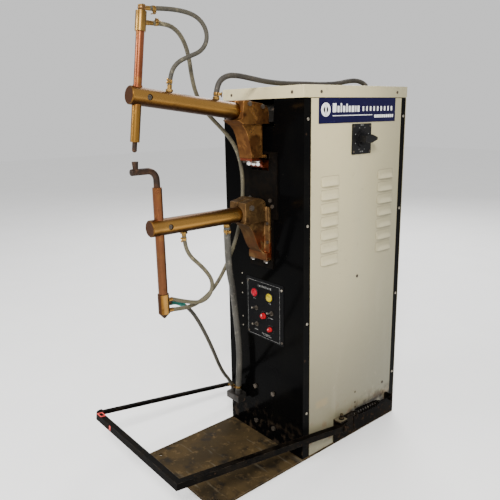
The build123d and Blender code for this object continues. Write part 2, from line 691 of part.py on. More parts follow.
with BuildPart() as lower_water_head:
    with BuildSketch(Plane(origin=(0, lower_cross_y, 0), x_dir=(0, 1, 0), z_dir=(1, 0, 0))):
        with BuildLine():
            Polyline((0, head_top), (16.5, head_top), (16.5, 568), (3, 553), (0, 553), (0, head_top))
        make_face()
    revolve(axis=Axis((0, lower_cross_y, 0), (0, 0, 1)))
    turned(facing(0, lower_cross_y + 8, 604, (0, 1, 0)), [(6.5, 20)])
    turned(facing(0, lower_cross_y + 8, 572, (0, 1, 0)), [(6.5, 21)])
    turned(facing(-3, lower_cross_y + 6, 588, (-0.5, 0.866, 0)), [(6.5, 23.5)])
lower_water_head.part.label = "lower_water_head"
export_step(lower_water_head.part, "parts/lower_water_head.step")

with BuildPart() as lower_arm_fittings:
    for y, mouth_r, mouth_z in ((-301, 6.6, 784.1), (-144, 11.2, 788.1)):
        turned(facing(0, y, 806, (0, 0, -1)), [(6, 10.4)])
        hexagon(facing(0, y, 795.6, (0, 0, -1)), 19, 5)
        turned(facing(0, y, 790.6, (0, 0, -1)), [(mouth_r, 790.6 - mouth_z)])
lower_arm_fittings.part.label = "lower_arm_fittings"
export_step(lower_arm_fittings.part, "parts/lower_arm_fittings.step")

# ---- welding transformer ------------------------------------------------
core_y = (75, 205)
core_z = (600, 900)
limb_half = 45
window_w = 34

with BuildPart() as transformer_core:
    block((-115, 115), core_y, core_z)
    for side in (-1, 1):
        block(sorted((side * limb_half, side * (limb_half + window_w))), (70, 210), (640, 860),
              mode=Mode.SUBTRACT)
    for x in (-105, 105):
        block((x - 12, x + 12), core_y, (563.2, 600))
transformer_core.part.label = "transformer_core"
export_step(transformer_core.part, "parts/transformer_core.step")


def winding(z, outer, inner):
    """A rectangular coil round the centre limb, inside an open BuildPart."""
    middle = (core_y[0] + core_y[1]) / 2
    with BuildSketch(Plane.XY.offset(z[0])) as turn:
        with Locations((0, middle)):
            RectangleRounded(2 * (limb_half + outer), core_y[1] - core_y[0] + 2 * outer, 12)
            Rectangle(2 * (limb_half + inner), core_y[1] - core_y[0] + 2 * inner, mode=Mode.SUBTRACT)
    extrude(turn.sketch, amount=z[1] - z[0])


with BuildPart() as primary_coils:
    winding((645, 722), 24, 2)
    winding((778, 855), 24, 2)
primary_coils.part.label = "primary_coils"
export_step(primary_coils.part, "parts/primary_coils.step")

lower_bar_z = (668, 694)

with BuildPart() as secondary_copper:
    winding((732, 768), 28, 2)
    block((-6, 6), (40, 74), (725, 775), mode=Mode.SUBTRACT)
    block((6, 34), (29, 47.2), (732, 973.9))
    block((-32, 6), (29, 47.2), (945, 973.9))
    block((-34, -6), (29, 47.2), (lower_bar_z[0], 768))
    block((-6, 32), (29, 47.2), lower_bar_z)
    block((-32, 32), (-6, 29), lower_bar_z)
secondary_copper.part.label = "secondary_copper"
export_step(secondary_copper.part, "parts/secondary_copper.step")

# ---- pedal and linkage --------------------------------------------------
pedal_lean = math.radians(pedal_tilt)
pedal_normal = (0, math.sin(pedal_lean), math.cos(pedal_lean))
pedal_plane = Plane(origin=(0, pedal_y, pedal_z), x_dir=(1, 0, 0), z_dir=pedal_normal)
corner_r = 30
half_bar = pedal_bar / 2

with BuildPart() as pedal_loop:
    with BuildSketch(pedal_plane.offset(-half_bar)):
        with BuildLine():
            left = pedal_left_x - half_bar
            left_inner = left + pedal_left_bar
            front = -pedal_reach - half_bar
            right = pedal_right_x + half_bar
            Line((left, 14), (left, front + corner_r))
            RadiusArc((left, front + corner_r), (left + corner_r, front), -corner_r)
            Polyline((left + corner_r, front), (right, front), (right, front + pedal_bar),
                     (left + corner_r, front + pedal_bar))
            Polyline((left + corner_r, front + pedal_bar), (left_inner, front + corner_r + 4),
                     (left_inner, 14), (left, 14))
        make_face()
    extrude(amount=pedal_bar)
    for low in (-half_bar, pedal_left_bar / 2):
        with BuildSketch(pedal_plane.offset(low)):
            with Locations(((left + left_inner) / 2, (front + corner_r - 40) / 2)):
                Rectangle(pedal_bar, -40 - front - corner_r)
        extrude(amount=half_bar - pedal_left_bar / 2, mode=Mode.SUBTRACT)
    with BuildSketch(pedal_plane.offset(-half_bar)):
        with Locations((pedal_right_x, (front + pedal_bar + 24) / 2)):
            Rectangle(pedal_bar, 24 - front - pedal_bar)
    extrude(amount=pedal_bar)
    for x in (pedal_left_x, pedal_right_x):
        turned(facing(x - half_bar, pedal_y, pedal_z, (1, 0, 0)), [(20, pedal_bar)])
    block((pedal_right_x - 5, pedal_right_x + 5), (196, 222), (62, 104))
    turned(facing(pedal_left_x - 15, pedal_y, pedal_z, (1, 0, 0)), [(pedal_shaft_r + 0.03, 520)],
           mode=Mode.SUBTRACT)
    turned(facing(pedal_right_x - 15, 214, 96, (1, 0, 0)), [(3.5, 30)], mode=Mode.SUBTRACT)
pedal_loop.part.label = "pedal_loop"
export_step(pedal_loop.part, "parts/pedal_loop.step")

with BuildPart() as pedal_shaft:
    length = pedal_right_x - pedal_left_x + pedal_bar + 8
    turned(facing(pedal_left_x - half_bar - 4, pedal_y, pedal_z, (1, 0, 0)), [(pedal_shaft_r, length)])
    chamfer(pedal_shaft.edges().filter_by(GeomType.CIRCLE), 1)
pedal_shaft.part.label = "pedal_shaft"
export_step(pedal_shaft.part, "parts/pedal_shaft.step")

with BuildPart() as pedal_crank:
    turned(facing(-22, pedal_y, pedal_z, (1, 0, 0)), [(22, 44)])
    for side in (-1, 1):
        block(sorted((side * 8, side * 20)), (pedal_y, rod_y + 14), (pedal_z - 13, pedal_z + 13))
    block((-8, 8), (pedal_y + 10, pedal_y + 40), (pedal_z - 13, pedal_z + 13))
    turned(facing(-30, pedal_y, pedal_z, (1, 0, 0)), [(pedal_shaft_r + 0.03, 60)], mode=Mode.SUBTRACT)
    turned(facing(-24, rod_y, pedal_z, (1, 0, 0)), [(9, 4), (crank_pin_r, 40), (9, 4)])
pedal_crank.part.label = "pedal_crank"
export_step(pedal_crank.part, "parts/pedal_crank.step")

eye_r = 15
pin_gap = 0.9

with BuildPart() as push_rod:
    for z, gap in ((pedal_z, 0.05), (rocker_z, pin_gap)):
        turned(facing(-7, rod_y, z, (1, 0, 0)), [(eye_r, 14)])
        turned(facing(-8, rod_y, z, (1, 0, 0)), [(crank_pin_r + gap, 16)], mode=Mode.SUBTRACT)
    turned(facing(0, rod_y, pedal_z + eye_r - 2, (0, 0, 1)), [(8, rocker_z - pedal_z - 2 * eye_r + 4)])
    for z in (862, 1024):
        hexagon(facing(0, rod_y, z, (0, 0, 1)), 28, 10)
    turned(facing(0, rod_y, 872.1, (0, 0, 1)), [(17, 151.8)])
    turned(facing(0, rod_y, 872.1, (0, 0, 1)), [(12, 151.8)], mode=Mode.SUBTRACT)
    turned(facing(0, rod_y, 872, (0, 0, 1)), [(8, 152)])
push_rod.part.label = "push_rod"
export_step(push_rod.part, "parts/push_rod.step")

bracket_y = (150, 250)
bracket_t = 4.8
bracket_top_x = 216
spring_rail_y = (bracket_y[1] + 5, 480)
spring_lug = (pedal_right_x, 214, 96)
spring_anchor = (pedal_right_x, 440, 84)
spring_hook_r = 3.5

with BuildPart() as pedal_brackets:
    for side in (-1, 1):
        plate = sorted((side * (cover_x + 0.2), side * (cover_x + 0.2 + bracket_t)))
        block(plate, bracket_y, (10, 92))
        turned(facing(side * 160, pedal_y, pedal_z, (side, 0, 0)), [(16.5, 29)])
        turned(facing(side * 155, pedal_y, pedal_z, (side, 0, 0)), [(pedal_shaft_r + 0.05, 40)],
               mode=Mode.SUBTRACT)
    block((cover_x + 0.2, bracket_top_x), (bracket_y[0], bracket_y[0] + 38), (92, 92 + bracket_t))
    block((cover_x + 0.2, cover_x + 0.2 + bracket_t), (bracket_y[0], bracket_y[0] + 38), (90, 93))
    block((cover_x + 0.2, cover_x + 0.2 + bracket_t), spring_rail_y, (10, 68))
    block((cover_x + 0.2, cover_x + 0.2 + bracket_t), (spring_anchor[1] - 6, spring_anchor[1] + 6), (39, 96))
    block((cover_x + 0.2, spring_anchor[0] + 8), (spring_anchor[1], spring_anchor[1] + 6), (72, 96))
    turned(facing(spring_anchor[0], spring_anchor[1] - 5, spring_anchor[2], (0, 1, 0)),
           [(spring_hook_r, 16)], mode=Mode.SUBTRACT)
    turned(facing(cover_x + 17, bracket_y[0] + 22, 96, (0, 0, 1)), [(9, 5), (5, 14)])
pedal_brackets.part.label = "pedal_brackets"
export_step(pedal_brackets.part, "parts/pedal_brackets.step")

with BuildPart() as return_spring:
    lug = Vector(*spring_lug) + Vector(0, 8.5, 0)
    anchor = Vector(*spring_anchor) - Vector(0, 0.5, 0)
    pull = (anchor - lug).normalized()
    reach = (anchor - lug).length
    turned(Plane(origin=lug, z_dir=pull), [(2, 40), (13, 132), (2, reach - 172)])
return_spring.part.label = "return_spring"
export_step(return_spring.part, "parts/return_spring.step")

# ---- cooling water ------------------------------------------------------
with BuildPart() as water_manifold:
    block((-154, -88), (-48, -16), (118, 144))
    fillet(water_manifold.edges().filter_by(Axis.X), 4)
    block((-140, -102), (-16, -0.05), (122, 140))
    turned(facing(-106, -32, 144, (0, 0, 1)), [(11.4, 17.9)])
    turned(facing(-136, -34, 144, (0, 0, 1)), [(6.8, 17.9)])
water_manifold.part.label = "water_manifold"
export_step(water_manifold.part, "parts/water_manifold.step")

with BuildPart() as rear_water_outlet:
    x, z = outlet_at
    turned(facing(x, rear_y - 19, z, (0, 1, 0)), [(outlet_r, 19.2), (12, 12), (outlet_r, 32.8)])
    turned(facing(x, rear_y + 37, z, (0, 0, 1)), [(outlet_r, 12), (8.8, 9.9)])
rear_water_outlet.part.label = "rear_water_outlet"
export_step(rear_water_outlet.part, "parts/rear_water_outlet.step")

gland_bore_r = 7

with BuildPart() as cable_gland:
    x, z = gland_at
    turned(facing(x, rear_y - 15, z, (0, 1, 0)), [(gland_thread_r, 15.1)])
    hexagon(facing(x, rear_y + 0.1, z, (0, 1, 0)), 32, 8)
    turned(facing(x, rear_y + 8.1, z, (0, 1, 0)), [(14, 14)])
    turned(facing(x, rear_y - 19, z, (0, 1, 0)), [(gland_bore_r, 50)], mode=Mode.SUBTRACT)
cable_gland.part.label = "cable_gland"
export_step(cable_gland.part, "parts/cable_gland.step")

with BuildPart() as jumper_hose:
    hose("jumper", hose_d)
jumper_hose.part.label = "jumper_hose"
export_step(jumper_hose.part, "parts/jumper_hose.step")

with BuildPart() as link_hose:
    hose("link", hose_d)
link_hose.part.label = "link_hose"
export_step(link_hose.part, "parts/link_hose.step")

with BuildPart() as return_hose:
    hose("return", return_hose_d)
return_hose.part.label = "return_hose"
export_step(return_hose.part, "parts/return_hose.step")

with BuildPart() as supply_hose:
    hose("supply", supply_hose_d)
supply_hose.part.label = "supply_hose"
export_step(supply_hose.part, "parts/supply_hose.step")

with BuildPart() as arm_to_electrode_hose:
    hose("arm_to_electrode", hose_d)
arm_to_electrode_hose.part.label = "arm_to_electrode_hose"
export_step(arm_to_electrode_hose.part, "parts/arm_to_electrode_hose.step")

with BuildPart() as taped_hose:
    hose("taped", hose_d)
taped_hose.part.label = "taped_hose"
export_step(taped_hose.part, "parts/taped_hose.step")
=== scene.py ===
import json
import math
import random

import bmesh
import bpy
from mathutils import Matrix, Vector


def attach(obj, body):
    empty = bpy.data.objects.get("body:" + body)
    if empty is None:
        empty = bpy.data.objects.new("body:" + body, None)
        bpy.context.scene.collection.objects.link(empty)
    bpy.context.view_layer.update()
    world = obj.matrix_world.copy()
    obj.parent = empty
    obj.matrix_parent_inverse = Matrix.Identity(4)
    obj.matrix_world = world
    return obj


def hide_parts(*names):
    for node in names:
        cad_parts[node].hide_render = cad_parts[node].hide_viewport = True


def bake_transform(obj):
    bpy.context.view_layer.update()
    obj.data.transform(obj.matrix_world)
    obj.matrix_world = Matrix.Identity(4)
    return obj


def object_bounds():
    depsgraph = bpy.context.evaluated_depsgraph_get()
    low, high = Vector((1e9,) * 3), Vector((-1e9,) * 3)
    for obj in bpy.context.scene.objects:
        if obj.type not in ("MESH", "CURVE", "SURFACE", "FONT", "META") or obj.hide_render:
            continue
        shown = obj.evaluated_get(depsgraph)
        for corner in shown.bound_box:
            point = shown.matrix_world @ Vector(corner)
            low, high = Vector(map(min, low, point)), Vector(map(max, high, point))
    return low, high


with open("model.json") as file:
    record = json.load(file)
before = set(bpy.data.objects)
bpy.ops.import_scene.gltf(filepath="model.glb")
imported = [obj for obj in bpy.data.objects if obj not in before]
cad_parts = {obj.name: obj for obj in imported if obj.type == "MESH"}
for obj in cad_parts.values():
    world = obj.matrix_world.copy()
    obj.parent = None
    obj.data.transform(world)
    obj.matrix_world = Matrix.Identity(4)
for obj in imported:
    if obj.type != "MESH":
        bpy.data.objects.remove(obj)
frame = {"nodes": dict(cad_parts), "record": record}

# Pedestal spot welder, in metres, in the CAD frame: the arms reach out towards -Y
# and the side with the tap switch is +X.

cad_low, cad_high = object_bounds()
MM = 0.001


def mm(x, y, z):
    """A point given in millimetres."""
    return Vector((x, y, z)) * MM


# ---- camera and light ---------------------------------------------------
CAMERA_PLACE = Vector((1.3343, -1.1690, 1.1265))
CAMERA_AZIMUTH = math.radians(50.11)
CAMERA_PITCH = math.radians(13.81)
CAMERA_ROLL = math.radians(-1.12)
CAMERA_LENS = 40.31


def make_camera():
    forward = Vector((-math.sin(CAMERA_AZIMUTH) * math.cos(CAMERA_PITCH),
                      math.cos(CAMERA_AZIMUTH) * math.cos(CAMERA_PITCH), -math.sin(CAMERA_PITCH)))
    level = Vector((math.cos(CAMERA_AZIMUTH), math.sin(CAMERA_AZIMUTH), 0))
    upright = level.cross(forward)
    right = level * math.cos(CAMERA_ROLL) + upright * math.sin(CAMERA_ROLL)
    up = upright * math.cos(CAMERA_ROLL) - level * math.sin(CAMERA_ROLL)
    data = bpy.data.cameras.new("camera")
    data.sensor_width = 36
    data.lens = CAMERA_LENS
    data.clip_start = 0.02
    data.clip_end = 60
    camera = bpy.data.objects.new("camera", data)
    bpy.context.scene.collection.objects.link(camera)
    turn = Matrix((right, up, -forward)).transposed().to_4x4()
    camera.matrix_world = Matrix.Translation(CAMERA_PLACE) @ turn
    bpy.context.scene.camera = camera


def area_light(name, place, aim, size, power, colour=(1, 1, 1)):
    data = bpy.data.lights.new(name, "AREA")
    data.shape = "DISK"
    data.size = size
    data.energy = power
    data.color = colour
    light = bpy.data.objects.new(name, data)
    bpy.context.scene.collection.objects.link(light)
    light.location = place
    light.rotation_mode = "QUATERNION"
    light.rotation_quaternion = (Vector(aim) - Vector(place)).to_track_quat("-Z", "Y")


def make_light():
    centre = (cad_low + cad_high) / 2
    area_light("key", (2.35, -2.3, 3.1), centre, 1.0, 270, (1.0, 0.985, 0.96))
    area_light("fill", (-1.2, -3.2, 2.4), centre, 1.6, 60, (1.0, 0.99, 0.97))
    area_light("back", (-2.2, 3.0, 3.4), centre, 2.6, 170)
    world = bpy.data.worlds.new("studio")
    world.use_nodes = True
    background = world.node_tree.nodes["Background"]
    background.inputs["Color"].default_value = (1, 1, 1, 1)
    background.inputs["Strength"].default_value = 0.85
    bpy.context.scene.world = world


# ---- materials ----------------------------------------------------------
class Finish:
    """One procedural material, built up from layers laid over a base by masks."""

    def __init__(self, name, colour, rough, metal=0.0, coat=0.0, specular=0.5):
        self.material = bpy.data.materials.new(name)
        self.material.use_nodes = True
        self.tree = self.material.node_tree
        self.shader = self.tree.nodes["Principled BSDF"]
        self.coords = self.tree.nodes.new("ShaderNodeTexCoord").outputs["Object"]
        self.values = {"Base Color": (*colour, 1), "Roughness": rough, "Metallic": metal}
        self.shader.inputs["Coat Weight"].default_value = coat
        self.shader.inputs["Coat Roughness"].default_value = 0.08
        self.shader.inputs["Specular IOR Level"].default_value = specular
        self.heights = []

    def node(self, kind, inputs=(), **settings):
        """A shader node with its settings, and each input linked or set to a value."""
        made = self.tree.nodes.new("ShaderNode" + kind)
        for key, value in settings.items():
            setattr(made, key, value)
        for key, value in dict(inputs).items():
            self.feed(made.inputs[key], value)
        return made

    def feed(self, socket, value):
        if isinstance(value, bpy.types.NodeSocket):
            self.tree.links.new(value, socket)
        else:
            socket.default_value = value

    def stretched(self, stretch):
        if stretch == (1, 1, 1):
            return self.coords
        return self.node("Mapping", {"Vector": self.coords, "Scale": stretch}).outputs["Vector"]

    def ranged(self, value, low, high):
        """A smooth step from 0 at low to 1 at high."""
        inputs = {"Value": value, "From Min": low, "From Max": high}
        return self.node("MapRange", inputs, interpolation_type="SMOOTHSTEP").outputs["Result"]

    def noise(self, scale, detail=6, stretch=(1, 1, 1), warp=0.0):
        inputs = {"Vector": self.stretched(stretch), "Scale": scale, "Detail": detail, "Distortion": warp}
        return self.node("TexNoise", inputs).outputs["Fac"]

    def cells(self, scale):
        return self.node("TexVoronoi", {"Vector": self.coords, "Scale": scale}).outputs["Distance"]

    def clouds(self, scale, low, high, detail=6, stretch=(1, 1, 1), warp=0.0):
        """Noise as a mask: 0 where it is below low, 1 where it is above high."""
        return self.ranged(self.noise(scale, detail, stretch, warp), low, high)

    def along(self, axis, low, high):
        """0 at low and 1 at high along one axis of the frame, in metres."""
        split = self.node("SeparateXYZ", {0: self.coords})
        return self.ranged(split.outputs["XYZ".index(axis)], low, high)

    def dot(self, first, second):
        return self.node("VectorMath", {0: first, 1: second}, operation="DOT_PRODUCT").outputs["Value"]

    def facing(self, direction, low=0.8, high=0.95):
        """1 where the surface faces a direction."""
        normal = self.node("NewGeometry").outputs["True Normal"]
        return self.ranged(self.dot(normal, direction), low, high)

    def edges(self, radius, low=0.02, high=0.25):
        """1 along sharp edges, where the finish wears first."""
        rounded = self.node("Bevel", {"Radius": radius}, samples=4).outputs["Normal"]
        normal = self.node("NewGeometry").outputs["Normal"]
        return self.ranged(self.maths("SUBTRACT", 1.0, self.dot(rounded, normal)), low, high)

    def maths(self, operation, first, second):
        return self.node("Math", {0: first, 1: second}, operation=operation, use_clamp=True).outputs[0]

    def both(self, first, second):
        """Where two masks meet, or one mask at a share of its strength."""
        return self.maths("MULTIPLY", first, second)

    def layer(self, mask, colour=None, rough=None, metal=None):
        """Lays a colour, a roughness or a metal value over what is below."""
        if colour is not None:
            inputs = {0: mask, 6: self.values["Base Color"], 7: (*colour, 1)}
            self.values["Base Color"] = self.node("Mix", inputs, data_type="RGBA").outputs[2]
        for name, value in (("Roughness", rough), ("Metallic", metal)):
            if value is not None:
                inputs = {0: mask, 2: self.values[name], 3: value}
                self.values[name] = self.node("Mix", inputs, data_type="FLOAT").outputs[0]

    def relief(self, height, depth):
        """Raises the surface by a height map, with its depth in millimetres."""
        self.heights.append((height, depth))

    def done(self):
        for name, value in self.values.items():
            self.feed(self.shader.inputs[name], value)
        normal = None
        for height, depth in self.heights:
            bump = self.node("Bump", {"Distance": depth * MM, "Height": height})
            if normal is not None:
                self.feed(bump.inputs["Normal"], normal)
            normal = bump.outputs["Normal"]
        if normal is not None:
            self.feed(self.shader.inputs["Normal"], normal)
        return self.material


def scaled(colour, share):
    return tuple(min(1, c * share) for c in colour)


def cream_paint(name, hoods=False):
    f = Finish(name, (0.52, 0.455, 0.265), 0.42, coat=0.1, specular=0.35)
    f.layer(f.clouds(2.2, 0.3, 0.75), (0.46, 0.400, 0.225))
    # Painted shade: the paint darkens from the top down and towards the rear, where the light falls off.
    f.layer(f.both(f.along("Z", 1.18, 0.70), 0.6), (0.32, 0.290, 0.180))
    f.layer(f.both(f.along("Z", 0.75, 0.10), 0.85), (0.100, 0.090, 0.055))
    f.layer(f.both(f.along("Y", 0.12, 0.50), 0.65), (0.115, 0.112, 0.076))
    f.layer(f.both(f.clouds(5, 0.52, 0.72, stretch=(1, 1, 0.25), warp=0.4), 0.4), (0.29, 0.275, 0.195))
    f.layer(f.both(f.clouds(38, 0.62, 0.74, 9), 0.35), (0.24, 0.21, 0.14), rough=0.6)
    low = f.along("Z", 0.20, 0.02)
    f.layer(f.both(low, f.clouds(26, 0.52, 0.66, 10)), (0.14, 0.09, 0.045), rough=0.8)
    f.layer(f.both(f.edges(0.0015), f.clouds(60, 0.45, 0.6)), (0.20, 0.16, 0.10), rough=0.7)
    right = f.facing((1, 0, 0))
    patch = f.both(f.both(f.along("Y", 0.052, 0.072), f.along("Y", 0.128, 0.108)),
                   f.both(f.along("Z", 0.162, 0.174), f.along("Z", 0.200, 0.188)))
    f.layer(f.both(f.both(patch, right), 0.7), (0.21, 0.165, 0.082), rough=0.6)
    above_spring = f.both(f.both(f.along("Y", 0.20, 0.34), f.along("Z", 0.15, 0.09)), right)
    f.layer(f.both(above_spring, f.clouds(34, 0.42, 0.60, 10)), (0.045, 0.030, 0.016), rough=0.85)
    # Painted shade with grime: a near-black strip low on the right side round the spring's hooked end,
    # broken up by noise.
    behind = f.both(f.both(f.along("Y", 0.215, 0.245), f.along("Z", 0.106, 0.092)), right)
    shade_and_grime = f.both(f.both(behind, f.clouds(20, 0.25, 0.45, 9)), 0.92)
    f.layer(shade_and_grime, (0.012, 0.009, 0.006), rough=0.85)
    f.layer(f.clouds(90, 0.3, 0.8), rough=0.52)
    if hoods:
        # Painted shade in the crease where the right-hand hoods meet the cover, and a painted highlight on
        # the hoods' crowns.
        foot = f.both(f.along("X", 0.1872, 0.1852), f.along("X", 0, 0.1))
        f.layer(f.both(foot, 0.6), (0.150, 0.130, 0.080))
        f.layer(f.both(f.along("X", 0.1895, 0.1925), 0.25), (0.60, 0.54, 0.36), rough=0.32)
    f.relief(f.noise(420, 3), 0.05)
    f.relief(f.noise(7, 3), 0.35)
    return f.done()


def black_paint(name):
    f = Finish(name, (0.0018, 0.0018, 0.0018), 0.36, specular=0.02)
    f.layer(f.clouds(9, 0.35, 0.75), (0.0035, 0.0032, 0.0028), rough=0.48)
    rubbed = f.both(f.edges(0.0014), f.clouds(70, 0.44, 0.6, 9))
    f.layer(f.both(rubbed, 0.6), (0.075, 0.055, 0.040), rough=0.55)
    f.layer(f.both(f.clouds(55, 0.66, 0.74, 10), 0.6), (0.035, 0.022, 0.014), rough=0.75)
    low = f.along("Z", 0.10, 0.0)
    f.layer(f.both(low, f.clouds(30, 0.46, 0.66, 9)), (0.035, 0.025, 0.017), rough=0.8)
    f.relief(f.noise(300, 4), 0.05)
    return f.done()


def gloss_black_paint(name):
    f = Finish(name, (0.0012, 0.0012, 0.0013), 0.12, specular=0.014)
    f.layer(f.clouds(6, 0.4, 0.8, 8), (0.0024, 0.0022, 0.0018), rough=0.2)
    f.layer(f.both(f.clouds(130, 0.69, 0.78, 10), 0.4), (0.05, 0.045, 0.035), rough=0.6)
    low = f.both(f.along("Z", 0.16, 0.01), f.clouds(34, 0.50, 0.68, 10))
    f.layer(f.both(low, 0.6), (0.035, 0.024, 0.015), rough=0.75)
    f.relief(f.noise(9, 3), 0.25)
    f.relief(f.noise(380, 3), 0.02)
    return f.done()


def rusty_steel(name):
    f = Finish(name, (0.027, 0.0185, 0.0085), 0.80, metal=0.1, specular=0.08)
    f.layer(f.clouds(9, 0.35, 0.65, 9, warp=0.6), (0.048, 0.031, 0.0125), rough=0.85)
    f.layer(f.clouds(19, 0.50, 0.70, 10), (0.012, 0.009, 0.0055), rough=0.65)
    f.layer(f.both(f.clouds(60, 0.56, 0.70, 10), 0.6), (0.085, 0.055, 0.024), rough=0.9, metal=0.0)
    f.layer(f.both(f.clouds(26, 0.60, 0.75, stretch=(0.3, 2.2, 1)), 0.4), (0.13, 0.11, 0.075), rough=0.5)
    f.layer(f.both(f.edges(0.002), f.clouds(90, 0.4, 0.6)), (0.12, 0.09, 0.06), rough=0.5, metal=0.4)
    f.relief(f.noise(160, 8), 0.5)
    f.relief(f.noise(24, 6), 0.8)
    return f.done()


def worn_black(name, rust=0.62):
    f = Finish(name, (0.0016, 0.0012, 0.0009), 0.45, specular=0.02)
    f.layer(f.clouds(18, 0.46, 0.68, 9), (0.007, 0.0052, 0.0035), rough=0.6)
    rubbed = f.both(f.edges(0.0018), f.clouds(46, 0.42, 0.60, 8))
    f.layer(f.both(rubbed, 0.7), (0.055, 0.042, 0.03), rough=0.42, metal=0.5)
    f.layer(f.both(f.clouds(70, rust, rust + 0.1, 10), 0.6), (0.034, 0.019, 0.010), rough=0.85)
    f.relief(f.noise(240, 6), 0.12)
    return f.done()


def dark_steel(name, colour=(0.040, 0.036, 0.032)):
    f = Finish(name, colour, 0.42, metal=0.7, specular=0.3)
    f.layer(f.clouds(20, 0.4, 0.7, 9), scaled(colour, 0.5), rough=0.6)
    f.layer(f.both(f.clouds(60, 0.60, 0.72, 10), 0.8), (0.075, 0.042, 0.022), rough=0.85, metal=0.1)
    f.relief(f.noise(220, 6), 0.12)
    return f.done()


def bright_steel(name, colour=(0.50, 0.48, 0.43), rough=0.28):
    f = Finish(name, colour, rough, metal=1.0)
    f.layer(f.clouds(120, 0.35, 0.75, stretch=(1, 1, 0.2)), rough=rough + 0.2)
    f.layer(f.both(f.clouds(45, 0.52, 0.70, 9), 0.6), (0.20, 0.16, 0.12), rough=0.55)
    f.relief(f.noise(500, 5), 0.04)
    return f.done()


def bronze_bar(name):
    f = Finish(name, (0.255, 0.125, 0.024), 0.25, metal=1.0)
    tarnish = f.clouds(7, 0.35, 0.68, 9, stretch=(1, 0.6, 1), warp=0.5)
    f.layer(tarnish, (0.135, 0.060, 0.012), rough=0.36)
    f.layer(f.both(f.clouds(26, 0.52, 0.70, 10), 0.8), (0.055, 0.025, 0.008), rough=0.5)
    f.layer(f.both(f.clouds(13, 0.60, 0.72, 7), 0.5), (0.36, 0.175, 0.055), rough=0.24)
    # Painted highlight and shade by facing: a light band on faces turned to +X, darker tops, dark
    # undersides and a darker front end.
    f.layer(f.both(f.facing((1, 0, 0.25), 0.75, 1.0), 0.6), (0.44, 0.235, 0.062), rough=0.24)
    f.layer(f.both(f.facing((0, 0, 1), 0.45, 0.95), 0.85), (0.085, 0.036, 0.010), rough=0.5)
    f.layer(f.facing((0, 0, 1), -0.05, -0.75), (0.036, 0.015, 0.005), rough=0.55)
    f.layer(f.facing((0, -0.9914, 0.1305), 0.7, 0.9), (0.060, 0.024, 0.010), rough=0.6)
    f.layer(f.both(f.edges(0.0014), f.clouds(80, 0.4, 0.6)), (0.42, 0.25, 0.09), rough=0.25)
    f.relief(f.noise(60, 6, stretch=(1, 7, 1)), 0.06)
    f.relief(f.noise(420, 5), 0.03)
    return f.done()


def cast_bronze(name, bright, dull, dark, foot=None):
    """Rough cast bronze; foot is a colour with the heights that it fades in between."""
    f = Finish(name, bright, 0.32, metal=0.9, specular=0.03)
    f.layer(f.clouds(16, 0.40, 0.60, 9, warp=0.8), dull, rough=0.5)
    if foot:
        f.layer(f.along("Z", foot[1], foot[2]), foot[0], rough=0.46)
    f.layer(f.both(f.clouds(62, 0.48, 0.68, 10, warp=0.3), 0.75), dark, rough=0.6, metal=0.9)
    # Painted highlights: bright, glossy patches scattered by noise.
    f.layer(f.both(f.clouds(24, 0.54, 0.66, 8, warp=0.6), 0.85), scaled(bright, 2.0), rough=0.24)
    # Painted shade: dark undersides, and faces turned forward and down made dull and darker.
    f.layer(f.both(f.facing((0, 0, 1), -0.1, -0.9), 0.7), dark, rough=0.6)
    shaded = f.facing((0, -0.94, -0.34), 0.35, 0.8)
    f.layer(f.both(shaded, 0.85), scaled(dull, 0.5), rough=0.9, metal=0.0)
    f.layer(f.both(f.edges(0.003), f.clouds(60, 0.36, 0.6)), scaled(bright, 1.5), rough=0.32)
    f.relief(f.noise(190, 7), 0.45)
    f.relief(f.noise(34, 5), 1.4)
    return f.done()


def copper_tube(name):
    f = Finish(name, (0.275, 0.090, 0.040), 0.27, metal=1.0)
    tarnish = f.clouds(12, 0.38, 0.66, 8, stretch=(1, 1, 0.4), warp=0.5)
    f.layer(tarnish, (0.185, 0.056, 0.024), rough=0.36)
    f.layer(f.both(f.clouds(30, 0.54, 0.70, 9), 0.8), (0.36, 0.155, 0.038), rough=0.3)
    f.layer(f.both(f.clouds(44, 0.56, 0.72, 10), 0.7), (0.085, 0.034, 0.016), rough=0.55)
    f.layer(f.both(f.along("Z", 1.19, 1.13), f.along("Z", 0.90, 0.98)), (0.250, 0.125, 0.026))
    f.layer(f.both(f.along("Z", 0.98, 0.90), 0.55), (0.150, 0.064, 0.027))
    f.layer(f.both(f.along("Z", 0.86, 0.72), 0.6), (0.095, 0.042, 0.019))
    f.relief(f.noise(80, 6, stretch=(1, 1, 6)), 0.05)
    f.relief(f.noise(420, 5), 0.03)
    return f.done()


def brass(name, colour=(0.285, 0.165, 0.044), dull=(0.130, 0.070, 0.019)):
    f = Finish(name, colour, 0.28, metal=1.0)
    f.layer(f.clouds(26, 0.38, 0.68, 8), dull, rough=0.42)
    f.layer(f.both(f.clouds(80, 0.58, 0.70, 9), 0.6), (0.07, 0.042, 0.02), rough=0.6)
    f.layer(f.both(f.edges(0.001), f.clouds(90, 0.35, 0.55)), (0.55, 0.38, 0.15), rough=0.22)
    f.relief(f.noise(420, 5), 0.05)
    return f.done()


def dark_copper(name):
    f = Finish(name, (0.062, 0.032, 0.019), 0.45, metal=0.8, specular=0.2)
    f.layer(f.clouds(22, 0.40, 0.66, 9), (0.024, 0.018, 0.015), rough=0.6)
    f.layer(f.both(f.clouds(50, 0.58, 0.72, 9), 0.7), (0.14, 0.07, 0.04), rough=0.5)
    f.layer(f.edges(0.0015), (0.18, 0.11, 0.07), rough=0.4)
    f.relief(f.noise(260, 6), 0.14)
    return f.done()


def copper_strip(name):
    f = Finish(name, (0.21, 0.040, 0.013), 0.38, metal=0.9)
    f.layer(f.clouds(40, 0.4, 0.66, 8), (0.12, 0.024, 0.010), rough=0.5)
    f.layer(f.both(f.clouds(90, 0.55, 0.7), 0.7), (0.36, 0.10, 0.035), rough=0.3)
    f.relief(f.noise(700, 3, stretch=(0.2, 0.2, 1)), 0.08)
    return f.done()


